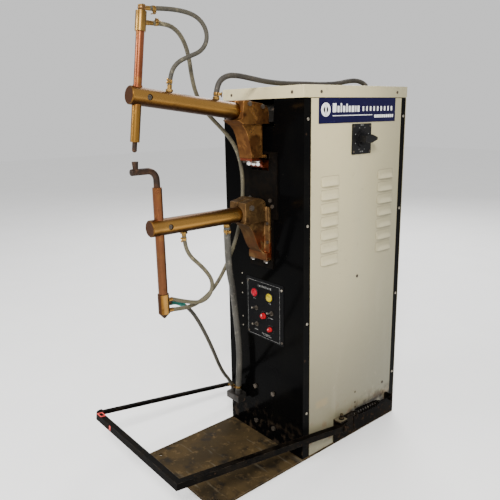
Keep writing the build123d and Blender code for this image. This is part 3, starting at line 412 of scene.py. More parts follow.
def plastic(name, colour, shade, rough=0.38, specular=0.3):
    f = Finish(name, colour, rough, specular=specular)
    f.layer(f.clouds(60, 0.35, 0.7, 7), shade, rough=rough + 0.14)
    scuffed = tuple(c * 1.6 + 0.015 for c in colour)
    f.layer(f.both(f.clouds(180, 0.62, 0.76, 9), 0.3), scuffed, rough=0.7)
    f.relief(f.noise(700, 4), 0.04)
    return f.done()


def lens(name, colour, deep):
    f = Finish(name, colour, 0.20, coat=0.03, specular=0.12)
    f.layer(f.clouds(140, 0.35, 0.7, 4), deep, rough=0.22)
    glint = tuple(min(1, c * 1.4 + 0.02) for c in colour)
    f.layer(f.both(f.clouds(300, 0.62, 0.75), 0.4), glint, rough=0.4)
    f.relief(f.cells(260), 0.12)
    return f.done()


def bracket_tan(name):
    f = Finish(name, (0.088, 0.074, 0.044), 0.6, specular=0.1)
    f.layer(f.clouds(40, 0.42, 0.64, 9, warp=0.5), (0.048, 0.035, 0.019), rough=0.75)
    f.layer(f.both(f.edges(0.002), f.clouds(80, 0.3, 0.55)), (0.035, 0.022, 0.013), rough=0.8)
    f.relief(f.noise(170, 7), 0.3)
    return f.done()


def printed(name, colour, worn, scale, low, high, detail):
    f = Finish(name, colour, 0.5)
    f.layer(f.clouds(scale, low, high, detail), worn, rough=0.6)
    f.relief(f.noise(500, 4), 0.03)
    return f.done()


def braided_hose(name, light, dark, glint):
    """A rubber hose in a woven braid: two sets of strands cross on the tube's own map."""
    f = Finish(name, light, 0.62)
    around = f.node("TexCoord").outputs["UV"]
    strands = []
    for lean in (1, -1):
        turned = f.node("Mapping", {"Vector": around, "Rotation": (0, 0, lean * math.radians(45))})
        inputs = {"Vector": turned.outputs["Vector"], "Scale": 95, "Distortion": 0.6}
        strands.append(f.node("TexWave", inputs, bands_direction="X").outputs["Fac"])
    weave = f.both(*strands)
    f.layer(f.ranged(weave, 0.35, 0.0), dark, rough=0.75)
    f.layer(f.both(f.clouds(18, 0.42, 0.66, 9), 0.75), dark, rough=0.7)
    f.layer(f.both(f.clouds(70, 0.56, 0.72, 9), 0.55), glint, rough=0.5)
    f.relief(weave, 0.35)
    f.relief(f.noise(200, 4), 0.10)
    return f.done()


def tape(name, colour, dark):
    f = Finish(name, colour, 0.4)
    f.layer(f.clouds(90, 0.4, 0.7, 7), dark, rough=0.55)
    f.relief(f.noise(160, 5, stretch=(1, 3, 1)), 0.25)
    return f.done()


def blue_plate(name):
    f = Finish(name, (0.0030, 0.0020, 0.023), 0.36, specular=0.08)
    f.layer(f.clouds(14, 0.35, 0.7, 7), (0.004, 0.003, 0.029), rough=0.42)
    f.layer(f.both(f.clouds(90, 0.62, 0.74, 9), 0.5), (0.02, 0.02, 0.06), rough=0.6)
    f.relief(f.noise(12, 3), 0.2)
    return f.done()


def circuit_board(name):
    f = Finish(name, (0.03, 0.12, 0.05), 0.45)
    f.layer(f.clouds(60, 0.5, 0.6, 2), (0.02, 0.07, 0.035), rough=0.5)
    f.relief(f.cells(240), 0.2)
    return f.done()


def laminated_core(name):
    f = Finish(name, (0.16, 0.14, 0.12), 0.6, metal=0.6)
    f.layer(f.clouds(20, 0.45, 0.7, 8), (0.09, 0.06, 0.045), rough=0.75, metal=0.3)
    f.relief(f.noise(900, 2, stretch=(0.02, 1, 0.02)), 0.4)
    return f.done()


def coil_wrap(name):
    f = Finish(name, (0.20, 0.09, 0.035), 0.5)
    f.layer(f.clouds(40, 0.4, 0.7, 7), (0.13, 0.06, 0.03), rough=0.62)
    f.relief(f.noise(420, 2, stretch=(0.05, 0.05, 1)), 0.4)
    return f.done()


# Each finish is its function with the colours and values that follow the name.
FINISHES = {
    "rusty_steel": (rusty_steel,),
    "black_paint": (black_paint,),
    "gloss_black_paint": (gloss_black_paint,),
    "cream_paint": (cream_paint,),
    "hood_paint": (cream_paint, True),
    "zinc_screw": (bright_steel, (0.34, 0.31, 0.255), 0.34),
    "blue_plate": (blue_plate,),
    "black_plastic": (plastic, (0.005, 0.005, 0.0055), (0.008, 0.0075, 0.007), 0.38, 0.1),
    "brown_plastic": (plastic, (0.07, 0.03, 0.015), (0.04, 0.02, 0.01)),
    "black_label": (plastic, (0.0035, 0.0035, 0.004), (0.005, 0.005, 0.005), 0.5, 0.03),
    "red_plastic": (plastic, (0.33, 0.003, 0.007), (0.20, 0.002, 0.005), 0.38, 0.12),
    "red_lens": (lens, (0.34, 0.002, 0.014), (0.13, 0.001, 0.006)),
    "yellow_lens": (lens, (0.40, 0.31, 0.001), (0.20, 0.15, 0.001)),
    "green_board": (circuit_board,),
    "dark_steel": (dark_steel,),
    "bright_steel": (bright_steel,),
    "bronze": (brass, (0.26, 0.14, 0.05), (0.14, 0.075, 0.03)),
    "cast_bronze": (cast_bronze, (0.300, 0.140, 0.040), (0.105, 0.042, 0.013), (0.030, 0.012, 0.005)),
    "aged_bronze": (cast_bronze, (0.170, 0.096, 0.036), (0.080, 0.043, 0.017), (0.026, 0.012, 0.006),
                    ((0.180, 0.034, 0.011), 0.79, 0.70)),
    "dark_bolt": (dark_steel, (0.085, 0.070, 0.055)),
    "bronze_bar": (bronze_bar,),
    "copper_tube": (copper_tube,),
    "dark_copper": (dark_copper,),
    "brass": (brass,),
    "copper_strip": (copper_strip,),
    "black_board": (plastic, (0.0022, 0.0018, 0.0015), (0.0045, 0.0032, 0.0022), 0.5, 0.02),
    "core_steel": (laminated_core,),
    "winding": (coil_wrap,),
    "worn_black": (worn_black,),
    "rusted_black": (worn_black, 0.56),
    "spring_steel": (dark_steel, (0.030, 0.024, 0.018)),
    "braided_hose": (braided_hose, (0.120, 0.103, 0.054), (0.036, 0.030, 0.017), (0.23, 0.19, 0.105)),
    "dark_hose": (braided_hose, (0.058, 0.050, 0.029), (0.018, 0.015, 0.010), (0.14, 0.118, 0.068)),
    "return_hose": (braided_hose, (0.042, 0.035, 0.024), (0.014, 0.011, 0.008), (0.105, 0.080, 0.052)),
    "grey_hose": (braided_hose, (0.060, 0.055, 0.043), (0.026, 0.024, 0.019), (0.14, 0.125, 0.095)),
    "foot_zinc": (bright_steel, (0.80, 0.79, 0.76), 0.22),
    "bracket_tan": (bracket_tan,),
    "print_white": (printed, (0.72, 0.72, 0.70), (0.50, 0.50, 0.49), 150, 0.5, 0.7, 8),
    "print_grey": (printed, (0.20, 0.20, 0.19), (0.06, 0.06, 0.06), 120, 0.45, 0.62, 9),
    "teal_tape": (tape, (0.008, 0.19, 0.145), (0.004, 0.09, 0.075)),
    "red_tape": (tape, (0.62, 0.022, 0.010), (0.38, 0.014, 0.008)),
}
MATERIALS = {name: make(name, *values) for name, (make, *values) in FINISHES.items()}


def piece(name, bm, material, body=None, sharp=35):
    """Makes a shape into a piece that rides on a body, smooth but for edges sharper than an angle."""
    bmesh.ops.recalc_face_normals(bm, faces=bm.faces)
    mesh = bpy.data.meshes.new(name)
    bm.to_mesh(mesh)
    bm.free()
    mesh.materials.append(MATERIALS[material])
    mesh.shade_smooth()
    mesh.set_sharp_from_angle(angle=math.radians(sharp))
    made = bpy.data.objects.new(name, mesh)
    bpy.context.scene.collection.objects.link(made)
    if body:
        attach(made, body)
    return made


def axes_along(direction):
    """Two directions square to a third."""
    z = Vector(direction).normalized()
    x = Vector((1, 0, 0)) if abs(z.x) < 0.9 else Vector((0, 1, 0))
    x = (x - z * x.dot(z)).normalized()
    return x, z.cross(x), z


def skin(bm, rings, closed=True):
    """Joins a row of rings by faces and caps the first one, and the last one too when they are closed."""
    count = len(rings[0])
    sides = []
    for low, high in zip(rings, rings[1:]):
        for i in range(count if closed else count - 1):
            j = (i + 1) % count
            sides.append(bm.faces.new((low[i], low[j], high[j], high[i])))
    bm.faces.new(list(reversed(rings[0])))
    if closed:
        bm.faces.new(rings[-1])
    return sides


def lathe(profile, origin, direction, segments, into=None):
    """A turned shape: (radius, height) pairs in millimetres, along a direction."""
    bm = into or bmesh.new()
    x, y, z = axes_along(direction)
    rings = []
    for radius, height in profile:
        centre = Vector(origin) + z * height * MM
        if radius == 0:
            rings.append([bm.verts.new(centre)])
            continue
        turns = [math.tau * i / segments for i in range(segments)]
        rings.append([bm.verts.new(centre + (x * math.cos(t) + y * math.sin(t)) * radius * MM)
                      for t in turns])
    for low, high in zip(rings, rings[1:]):
        for i in range(segments):
            j = (i + 1) % segments
            if len(low) == 1 and len(high) > 1:
                bm.faces.new((low[0], high[i], high[j]))
            elif len(high) == 1 and len(low) > 1:
                bm.faces.new((low[i], low[j], high[0]))
            elif len(low) > 1:
                bm.faces.new((low[i], low[j], high[j], high[i]))
    for ring, flip in ((rings[0], True), (rings[-1], False)):
        if len(ring) > 1:
            bm.faces.new(list(reversed(ring)) if flip else ring)
    return bm


def slab(bm, low, high, bevel=0.0):
    """A box between two corners in millimetres, with edges that may be bevelled."""
    corners = bmesh.ops.create_cube(bm, size=1.0)["verts"]
    size = Vector(high) - Vector(low)
    middle = (Vector(high) + Vector(low)) / 2
    for v in corners:
        v.co = Vector(a * b + c for a, b, c in zip(v.co, size, middle)) * MM
    if bevel:
        edges = {e for v in corners for e in v.link_edges}
        bmesh.ops.bevel(bm, geom=list(edges), offset=bevel * MM, segments=1, affect="EDGES", profile=0.5)
    return corners


def tube(line, radius, sides=20):
    """A tube along a line of points, with a map that runs along it and round it, in metres."""
    bm = bmesh.new()
    uv = bm.loops.layers.uv.new("UVMap")
    count = len(line)
    tangents = [(line[min(i + 1, count - 1)] - line[max(i - 1, 0)]).normalized() for i in range(count)]
    side = axes_along(tangents[0])[0]
    rings, lengths = [], [0.0]
    for i, (point, tangent) in enumerate(zip(line, tangents)):
        side = (side - tangent * side.dot(tangent)).normalized()
        other = tangent.cross(side)
        turns = [math.tau * k / sides for k in range(sides)]
        rings.append([bm.verts.new(point + (side * math.cos(t) + other * math.sin(t)) * radius)
                      for t in turns])
        if i:
            lengths.append(lengths[-1] + (point - line[i - 1]).length)
    around = math.tau * radius / sides
    for number, face in enumerate(skin(bm, rings)):
        i, k = divmod(number, sides)
        spots = ((lengths[i], k), (lengths[i], k + 1), (lengths[i + 1], k + 1), (lengths[i + 1], k))
        for loop, (along, turn) in zip(face.loops, spots):
            loop[uv].uv = (along, turn * around)
    return bm


# ---- hoses --------------------------------------------------------------
HOSE_ROUTES = {
    "jumper": [
        (0, -0.373, 1.389), (0.003, -0.326, 1.393), (0.008, -0.266, 1.390), (0.012, -0.228, 1.377),
        (0.015, -0.207, 1.350), (0.016, -0.206, 1.318), (0.014, -0.226, 1.291), (0.010, -0.262, 1.277),
        (0.005, -0.297, 1.262), (0.001, -0.319, 1.235), (0, -0.3235, 1.202),
    ],
    "link": [
        (0, -0.366, 1.354), (-0.003, -0.324, 1.357), (-0.010, -0.285, 1.344), (-0.019, -0.256, 1.315),
        (-0.028, -0.238, 1.277), (-0.036, -0.227, 1.232), (-0.043, -0.211, 1.185), (-0.051, -0.181, 1.141),
        (-0.056, -0.143, 1.108), (-0.058, -0.105, 1.077), (-0.058, -0.070, 1.042), (-0.057, -0.046, 1.000),
        (-0.055, -0.035, 0.950), (-0.055, -0.032, 0.895), (-0.056, -0.035, 0.840), (-0.057, -0.043, 0.790),
        (-0.059, -0.058, 0.741), (-0.061, -0.077, 0.694), (-0.059, -0.104, 0.649), (-0.041, -0.150, 0.610),
        (-0.024, -0.203, 0.579), (-0.014, -0.257, 0.563), (-0.006, -0.308, 0.563), (0, -0.352, 0.572),
    ],
    "return": [
        (0, -0.1686, 1.1731), (0, -0.166, 1.196), (0, -0.152, 1.219), (0.001, -0.124, 1.232),
        (0.002, -0.088, 1.232), (0.003, -0.044, 1.226), (0.005, 0.014, 1.217), (0.004, 0.092, 1.212),
        (0.006, 0.180, 1.213), (0.004, 0.268, 1.212), (0.005, 0.345, 1.216), (0.008, 0.400, 1.226),
        (0.009, 0.452, 1.228), (0.010, 0.496, 1.212), (0.010, 0.521, 1.176), (0.009, 0.527, 1.136),
        (0.008, 0.526, 1.102),
    ],
    "supply": [
        (0, -0.144, 0.788), (-0.006, -0.139, 0.738), (-0.019, -0.128, 0.686), (-0.021, -0.124, 0.649),
        (-0.035, -0.109, 0.613), (-0.064, -0.080, 0.573), (-0.110, -0.038, 0.503), (-0.111, -0.030, 0.425),
        (-0.101, -0.029, 0.345), (-0.097, -0.031, 0.268), (-0.103, -0.032, 0.206), (-0.106, -0.032, 0.162),
    ],
    "arm_to_electrode": [
        (0, -0.301, 0.784), (0, -0.299, 0.752), (0.001, -0.283, 0.719), (0.002, -0.256, 0.693),
        (0.003, -0.232, 0.667), (0.004, -0.212, 0.637), (0.004, -0.209, 0.611), (0.004, -0.221, 0.587),
        (0.003, -0.243, 0.574), (0.002, -0.271, 0.574), (0.001, -0.313, 0.588), (0, -0.353, 0.604),
    ],
    "taped": [
        (-0.015, -0.355, 0.588), (-0.028, -0.332, 0.585), (-0.037, -0.300, 0.570), (-0.044, -0.262, 0.538),
        (-0.051, -0.228, 0.488), (-0.060, -0.193, 0.424), (-0.076, -0.156, 0.354), (-0.097, -0.120, 0.287),
        (-0.119, -0.084, 0.234), (-0.133, -0.052, 0.198), (-0.136, -0.034, 0.162),
    ],
}


def smooth_line(name):
    """The points of a hose's smooth line, read from the NURBS spline of its route."""
    data = bpy.data.curves.new(name + "_line", "CURVE")
    data.dimensions = "3D"
    data.resolution_u = 14
    spline = data.splines.new("NURBS")
    spline.points.add(len(HOSE_ROUTES[name]) - 1)
    for point, place in zip(spline.points, HOSE_ROUTES[name]):
        point.co = (*place, 1)
    spline.order_u = 3
    spline.use_endpoint_u = True
    guide = bpy.data.objects.new(name + "_line", data)
    line = [v.co.copy() for v in bpy.data.meshes.new_from_object(guide).vertices]
    bpy.data.objects.remove(guide)
    return line


CLAMP_EAR = (0.007, 0.0014, 0.008)
EAR_REACH = 0.0035
EAR_GAP = 0.0022
SCREW_REACH = 0.0042
WING = (0.0010, 0.0028, 0.0038)
WING_ALONG = 0.0088
WING_SPREAD = 0.0042


def clamp_on(name, point, direction, radius, turn, body):
    """A band clamp round a hose end, with its ears and a wing screw, riding on a body."""
    x, y, z = axes_along(direction)
    out = x * math.cos(turn) + y * math.sin(turn)
    across = z.cross(out)
    r = radius / MM
    bm = lathe([(r - 0.4, -4.5), (r + 0.9, -4.5), (r + 1.2, -3.6), (r + 1.0, 0), (r + 1.2, 3.6),
                (r + 0.9, 4.5), (r - 0.4, 4.5)], point, z, 28)
    for lean in (-1, 1):
        ear = bmesh.ops.create_cube(bm, size=1.0)["verts"]
        for v in ear:
            a, b, c = (share * size for share, size in zip(v.co, CLAMP_EAR))
            v.co = point + out * (radius + EAR_REACH + a) + across * (lean * EAR_GAP + b) + z * c
    screw_at = point + out * (radius + SCREW_REACH)
    lathe([(1.6, -5.5), (1.6, 5.5), (2.6, 5.6), (2.6, 7.2), (1.5, 7.6)], screw_at, across, 12, bm)
    for lean in (-1, 1):
        wing = bmesh.ops.create_uvsphere(bm, u_segments=12, v_segments=8, radius=1.0)["verts"]
        for v in wing:
            a, b, c = (share * size for share, size in zip(reversed(v.co), WING))
            v.co = screw_at + out * a + across * (WING_ALONG + b) + z * (lean * WING_SPREAD + c)
    piece(name, bm, "brass", body)


def hose(route, diameter, material, body):
    """One hose as a tube on its smooth line."""
    line = smooth_line(route)
    made = piece(route + "_hose_braid", tube(line, diameter / 2), material, sharp=70)
    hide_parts(route + "_hose")
    if body:
        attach(made, body)
    return made, line


HOSE_D = 0.012
RETURN_D = 0.016
SUPPLY_D = 0.021


def make_hoses():
    lines = {}
    plan = [("jumper", HOSE_D, "dark_hose", "rocker"), ("link", HOSE_D, "braided_hose", None),
            ("return", RETURN_D, "return_hose", None), ("supply", SUPPLY_D, "grey_hose", "frame"),
            ("arm_to_electrode", HOSE_D, "braided_hose", "frame"), ("taped", HOSE_D, "dark_hose", "frame")]
    for route, diameter, material, body in plan:
        made, lines[route] = hose(route, diameter, material, body)
        if route == "link":
            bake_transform(made)
        if route == "return":
            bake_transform(made)
    # Each clamp: its hose, the end it sits on, its body, and how far it is turned round the hose.
    ends = [("jumper", 0, "rocker", 1.2), ("jumper", -1, "rocker", 0.4), ("link", 0, "rocker", -1.0),
            ("return", 0, "rocker", 0.3), ("return", -1, "frame", 1.0), ("supply", 0, "frame", 0.2),
            ("supply", -1, "frame", 2.0), ("arm_to_electrode", 0, "frame", 0.5),
            ("taped", -1, "frame", 2.6)]
    radii = {route: diameter / 2 for route, diameter, _, _ in plan}
    for route, end, body, turn in ends:
        line = lines[route]
        at = 2 if end == 0 else len(line) - 3
        direction = line[at + 1] - line[at - 1]
        name = f"{route}_clamp_{'start' if end == 0 else 'end'}"
        clamp_on(name, line[at], direction, radii[route], turn, body)
    return lines


# ---- floor --------------------------------------------------------------
def make_floor():
    f = Finish("studio_floor", (0.95, 0.95, 0.945), 0.8, specular=0.2)
    f.layer(f.clouds(3, 0.3, 0.7), (0.93, 0.93, 0.925))
    mesh = bpy.data.meshes.new("floor")
    reach = 14
    corners = [(-reach, -reach, 0), (reach, -reach, 0), (reach, reach, 0), (-reach, reach, 0)]
    mesh.from_pydata(corners, [], [(0, 1, 2, 3)])
    mesh.materials.append(f.done())
    floor = bpy.data.objects.new("floor", mesh)
    bpy.context.scene.collection.objects.link(floor)
    floor.location.z = -0.0005


# ---- screws and fixings -------------------------------------------------
def screw_head(bm, place, direction, radius, height, turn):
    """A domed head with a cut slot, standing on a place in millimetres."""
    x, y, z = axes_along(direction)
    u = x * math.cos(turn) + y * math.sin(turn)
    v = z.cross(u)
    place = Vector(place) * MM
    lathe([(radius, 0), (radius, height * 0.45), (0, height * 0.45)], place, z, 20, bm)
    count = 13
    for side in (-1, 1):
        rings = []
        for share, rise in ((1, 0.3), (0.97, 0.6), (0.78, 0.92), (0.5, 1.0)):
            ring = []
            for i in range(count):
                t = math.pi * i / (count - 1)
                across = max(radius * share * math.sin(t), radius * 0.15) * side
                at = u * radius * share * math.cos(t) + v * across + z * height * rise
                ring.append(bm.verts.new(place + at * MM))
            rings.append(ring)
        skin(bm, rings)


CAP_SIDE = 187.05
CAP_FRONT = -1.75
POST_SIDE = 184.05
PANEL_FACE = -2.05
COVER_X = 185.2
SWITCH_FACE = COVER_X + 3.05
CAP_SCREW_Z = 1181
POST_SCREW_Z = (1105, 792, 480, 170)


def make_screws():
    rng = random.Random(4)
    dark, pale = bmesh.new(), bmesh.new()
    for side in (-1, 1):
        for y in (70, 434):
            screw_head(dark, (side * CAP_SIDE, y, CAP_SCREW_Z), (side, 0, 0), 4.6, 2.3, rng.uniform(0, 3))
        for y in (18, 476):
            for z in POST_SCREW_Z:
                screw_head(pale, (side * POST_SIDE, y, z), (side, 0, 0), 4.6, 2.6, rng.uniform(0, 3))
    for x in (-140, 140):
        screw_head(dark, (x, CAP_FRONT, CAP_SCREW_Z), (0, -1, 0), 4.6, 2.3, rng.uniform(0, 3))
    for x, z, heads in ((-74, 392, dark), (-74, 572, dark), (92, 392, dark), (92, 572, pale)):
        screw_head(heads, (x, PANEL_FACE, z), (0, -1, 0), 4.4, 2.6, rng.uniform(0, 3))
    for y in (218, 296):
        for z in (1000, 1078):
            screw_head(dark, (SWITCH_FACE, y, z), (1, 0, 0), 3.6, 2.0, rng.uniform(0, 3))
    for y, z in ((255, 589), (417, 146)):
        screw_head(dark, (COVER_X + 0.05, y, z), (1, 0, 0), 5.4, 2.2, rng.uniform(0, 3))
    for z in (590, 554, 519, 433, 400):
        screw_head(pale, (-108, -0.05, z), (0, -1, 0), 2.8, 1.6, rng.uniform(0, 3))
    shown = piece("pale_screw_heads", pale, "zinc_screw", "frame")
    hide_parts("cabinet_screws")
    piece("dark_screw_heads", dark, "dark_bolt", "frame")
    bm = bmesh.new()
    for y, z in ((262, 161), (263, 121), (264, 101)):
        lathe([(4.2, 0), (4.2, 0.25), (1.8, 0.3), (1.6, -0.4), (0, -0.4)], mm(COVER_X + 0.02, y, z),
              (1, 0, 0), 16, bm)
    piece("rusted_cover_holes", bm, "rusty_steel", "frame")
    for name, place, body in (("upper_set_screw", mm(18.05, -399, 1169.5), "rocker"),
                              ("lower_set_screw", mm(18.05, -357, 821), "frame")):
        profile = [(7.4, 0), (7.4, 1.6), (6.4, 2.6), (3.4, 2.6), (3.0, 0.8), (0, 0.8)]
        piece(name, lathe(profile, place, (1, 0, 0), 24), "dark_bolt", body)


def make_fixings():
    """Nuts, and the paint and stop bolt of the pedal's bracket."""
    bm = bmesh.new()
    for x, y in ((-8, -44), (12, -42), (30, -40)):
        foot = mm(x, y, 981.6)
        lathe([(8.5, 0), (8.5, 1.4), (5, 1.5), (5, 5), (0, 5)], foot, (0, 0, -1), 24, bm)
        lathe([(7.0, 5), (7.0, 11), (6.0, 12.4), (3.4, 12.4), (3.4, 15), (0, 15)], foot, (0, 0, -1), 6, bm)
    piece("foot_nuts", bm, "foot_zinc", "rocker")
    bm = bmesh.new()
    for x in (-28, 36):
        lathe([(8.5, 0), (8.5, 1.2), (7.4, 1.2), (7.4, 6.6), (4.4, 7.2), (4.4, 9.4), (0, 9.4)],
              mm(x, -16.5, 665.8), (0, 0, -1), 6, bm)
    piece("terminal_nuts", bm, "foot_zinc", "frame")
    bm = bmesh.new()
    slab(bm, (COVER_X + 0.3, 150, 96.9), (216, 188, 98.1), 0.5)
    piece("bracket_paint", bm, "bracket_tan", "frame")
    bm = lathe([(6.5, 0), (6.5, 4), (4, 4), (4, 12), (5.2, 12.2), (5.2, 15), (0, 15.5)],
               mm(COVER_X + 17, 172, 101.2), (0, 0, 1), 20)
    piece("stop_bolt_head", bm, "rusty_steel", "frame")


LOUVRE_PITCH = 41.2
LOUVRE_FOOT = 657.8
LOUVRE_HALF = 39.5
LOUVRE_TALL = 30.5
LOUVRE_OUT = 8.1
LOUVRE_COLUMNS = (115, 388)
LOUVRE_ROWS = 7


def make_louvres():
    """Rounded hoods over the covers' louvres, blunt at the foot and run out at the top."""
    spans, steps = 26, 9
    for side, name in ((1, "right_louvre_hoods"), (-1, "left_louvre_hoods")):
        bm = bmesh.new()
        for y in LOUVRE_COLUMNS:
            for row in range(LOUVRE_ROWS):
                rings = []
                for k in range(steps + 1):
                    rise = max(0.0, math.cos(math.pi / 2 * k / steps)) ** 0.8
                    ring = []
                    for i in range(spans + 1):
                        across = math.sin(math.pi * (i / spans - 0.5))
                        end = max(0.0, 1 - abs(across) ** 3.5) ** 0.29
                        out = COVER_X - 0.3 + LOUVRE_OUT * rise * end
                        z = LOUVRE_FOOT + LOUVRE_PITCH * row + LOUVRE_TALL * k / steps
                        ring.append(bm.verts.new(mm(side * out, y + LOUVRE_HALF * across, z)))
                    rings.append(ring)
                skin(bm, rings, closed=False)
        piece(name, bm, "hood_paint", "frame", sharp=50)


# ---- spring and shunt ---------------------------------------------------
def make_spring():
    """The pedal's return spring: coils with a hook at the pedal and a straight end at the frame."""
    start, finish = mm(204, 221.5, 96), mm(204, 440.5, 84)
    along = finish - start
    length = along.length
    x, y, z = axes_along(along)
    coil, end_coil, hook, wire, turns = 0.0100, 0.003, 0.0045, 0.0026, 11
    coil_from, coil_to = 0.010, length - 0.060
    points = []
    for i in range(9):
        t = math.pi * (1.6 - 1.6 * i / 8)
        points.append(start + x * hook * math.cos(t) + z * (hook + hook * math.sin(t)))
    steps = turns * 14
    for i in range(steps + 1):
        t = i / steps
        swell = min(1, 6 * t, 6 * (1 - t))
        turn = math.tau * turns * t
        radius = end_coil + (coil - end_coil) * swell
        points.append(start + z * (coil_from + (coil_to - coil_from) * t)
                      + (x * math.cos(turn) + y * math.sin(turn)) * radius)
    points += [start + z * share for share in (length - 0.050, length - 0.03, length - 0.002)]
    made = piece("return_spring_coils", tube(points, wire, 10), "worn_black", sharp=80)
    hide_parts("return_spring")
    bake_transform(made)


SHUNT_LINE = [(-63, 986), (-30, 986), (-16, 961), (8, 961), (20, 978), (50, 978)]
LEAVES = 9
LEAF_PITCH = 0.86
LEAF_HALF = 0.32


def make_shunt():
    """The flexible shunt: thin copper leaves that bend between the rocker and the fixed bar."""
    line = [Vector(p) for p in SHUNT_LINE]
    for _ in range(3):
        cut = [line[0]]
        for a, b in zip(line, line[1:]):
            cut += [a.lerp(b, 0.25), a.lerp(b, 0.75)]
        line = cut + [line[-1]]
    rng = random.Random(9)
    bm = bmesh.new()
    for leaf in range(LEAVES):
        shift = (leaf - (LEAVES - 1) / 2) * LEAF_PITCH
        half = 28.5 + rng.uniform(-0.9, 0.5)
        rings = []
        for i, p in enumerate(line):
            run = (line[min(i + 1, len(line) - 1)] - line[max(i - 1, 0)]).normalized()
            up = Vector((-run.y, run.x))
            ring = []
            for x, rise in ((-half, -LEAF_HALF), (half, -LEAF_HALF), (half, LEAF_HALF), (-half, LEAF_HALF)):
                at = p + up * (shift + rise)
                ring.append(bm.verts.new(mm(x, at.x, at.y)))
            rings.append(ring)
        skin(bm, rings)
    made = piece("shunt_leaves", bm, "copper_strip")
    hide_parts("flexible_shunt")
    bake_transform(made)


# ---- control panel ------------------------------------------------------
RED_LAMP, YELLOW_LAMP = (-40, 537), (34, 535)
TIME_KNOB, HEAT_KNOB = (5, 464), (37, 424)
FLUTED_BEYOND = 0.004


def fluted(profile, place, direction, flutes, depth):
    """A turned shape whose side is cut with flutes."""
    bm = lathe(profile, place, direction, 72)
    x, y, z = axes_along(direction)
    for v in bm.verts:
        local = v.co - place
        a, b = local.dot(x), local.dot(y)
        if math.hypot(a, b) > FLUTED_BEYOND:
            pull = 1 - depth * (0.5 - 0.5 * math.cos(flutes * math.atan2(b, a)))
            v.co = place + (x * a + y * b) * pull + z * local.dot(z)
    return bm


def make_controls():
    for name, node, (x, z), material in (("mains_lamp_lens", "mains_lamp", RED_LAMP, "red_lens"),
                                         ("weld_lamp_lens", "weld_lamp", YELLOW_LAMP, "yellow_lens")):
        seat = mm(x, -2.1, z)
        bm = fluted([(11, -31), (11, 0), (13.8, 0), (14.2, 3.4), (13.6, 5.6), (11.2, 7.6), (7, 8.5),
                     (0, 8.6)], seat, (0, -1, 0), 18, 0.05)
        shown = piece(name, bm, material, "frame", sharp=50)
        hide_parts(node)
        bm = lathe([(14.4, 0), (17, 0), (17, 2.2), (16, 3.4), (14.5, 3.4), (14.4, 0)], seat, (0, -1, 0), 40)
        piece(name.replace("lens", "bezel"), bm, "black_plastic", "frame")
    for node, (x, z), radius, body in (("weld_time_knob", TIME_KNOB, 10.5, "time_knob"),
                                       ("heat_knob", HEAT_KNOB, 8.5, "heat_knob")):
        grip = radius - 1
        profile = [(radius, 0), (radius, 2.6), (grip, 3.4), (grip - 0.4, 9), (grip - 1.8, 11.2), (0, 11.6)]
        bm = fluted(profile, mm(x, -3.05, z), (0, -1, 0), 16, 0.09)
        lathe([(3, 0), (3, 24)], mm(x, -3, z), (0, 1, 0), 16, bm)
        shown = piece(node + "_grip", bm, "red_plastic", body, sharp=45)
        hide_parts(node)
        bm = bmesh.new()
        slab(bm, (x - 0.7, -14.9, z + 1.5), (x + 0.7, -14.2, z + grip - 2), 0.2)
        piece(node + "_pointer", bm, "print_white", body)


INK = 0.2


def mark(bm, left, low, right, high):
    """A flat printed mark on the control plate."""
    slab(bm, (left, PANEL_FACE - INK, low), (right, PANEL_FACE, high))


def strokes(bm, x, z, widths, height, gap):
    """A row of plain upright bars that stands for lettering."""
    for i, width in enumerate(widths):
        mark(bm, x, z, x + width, z + height * (0.8 if i % 3 == 1 else 1))
        x += width + gap


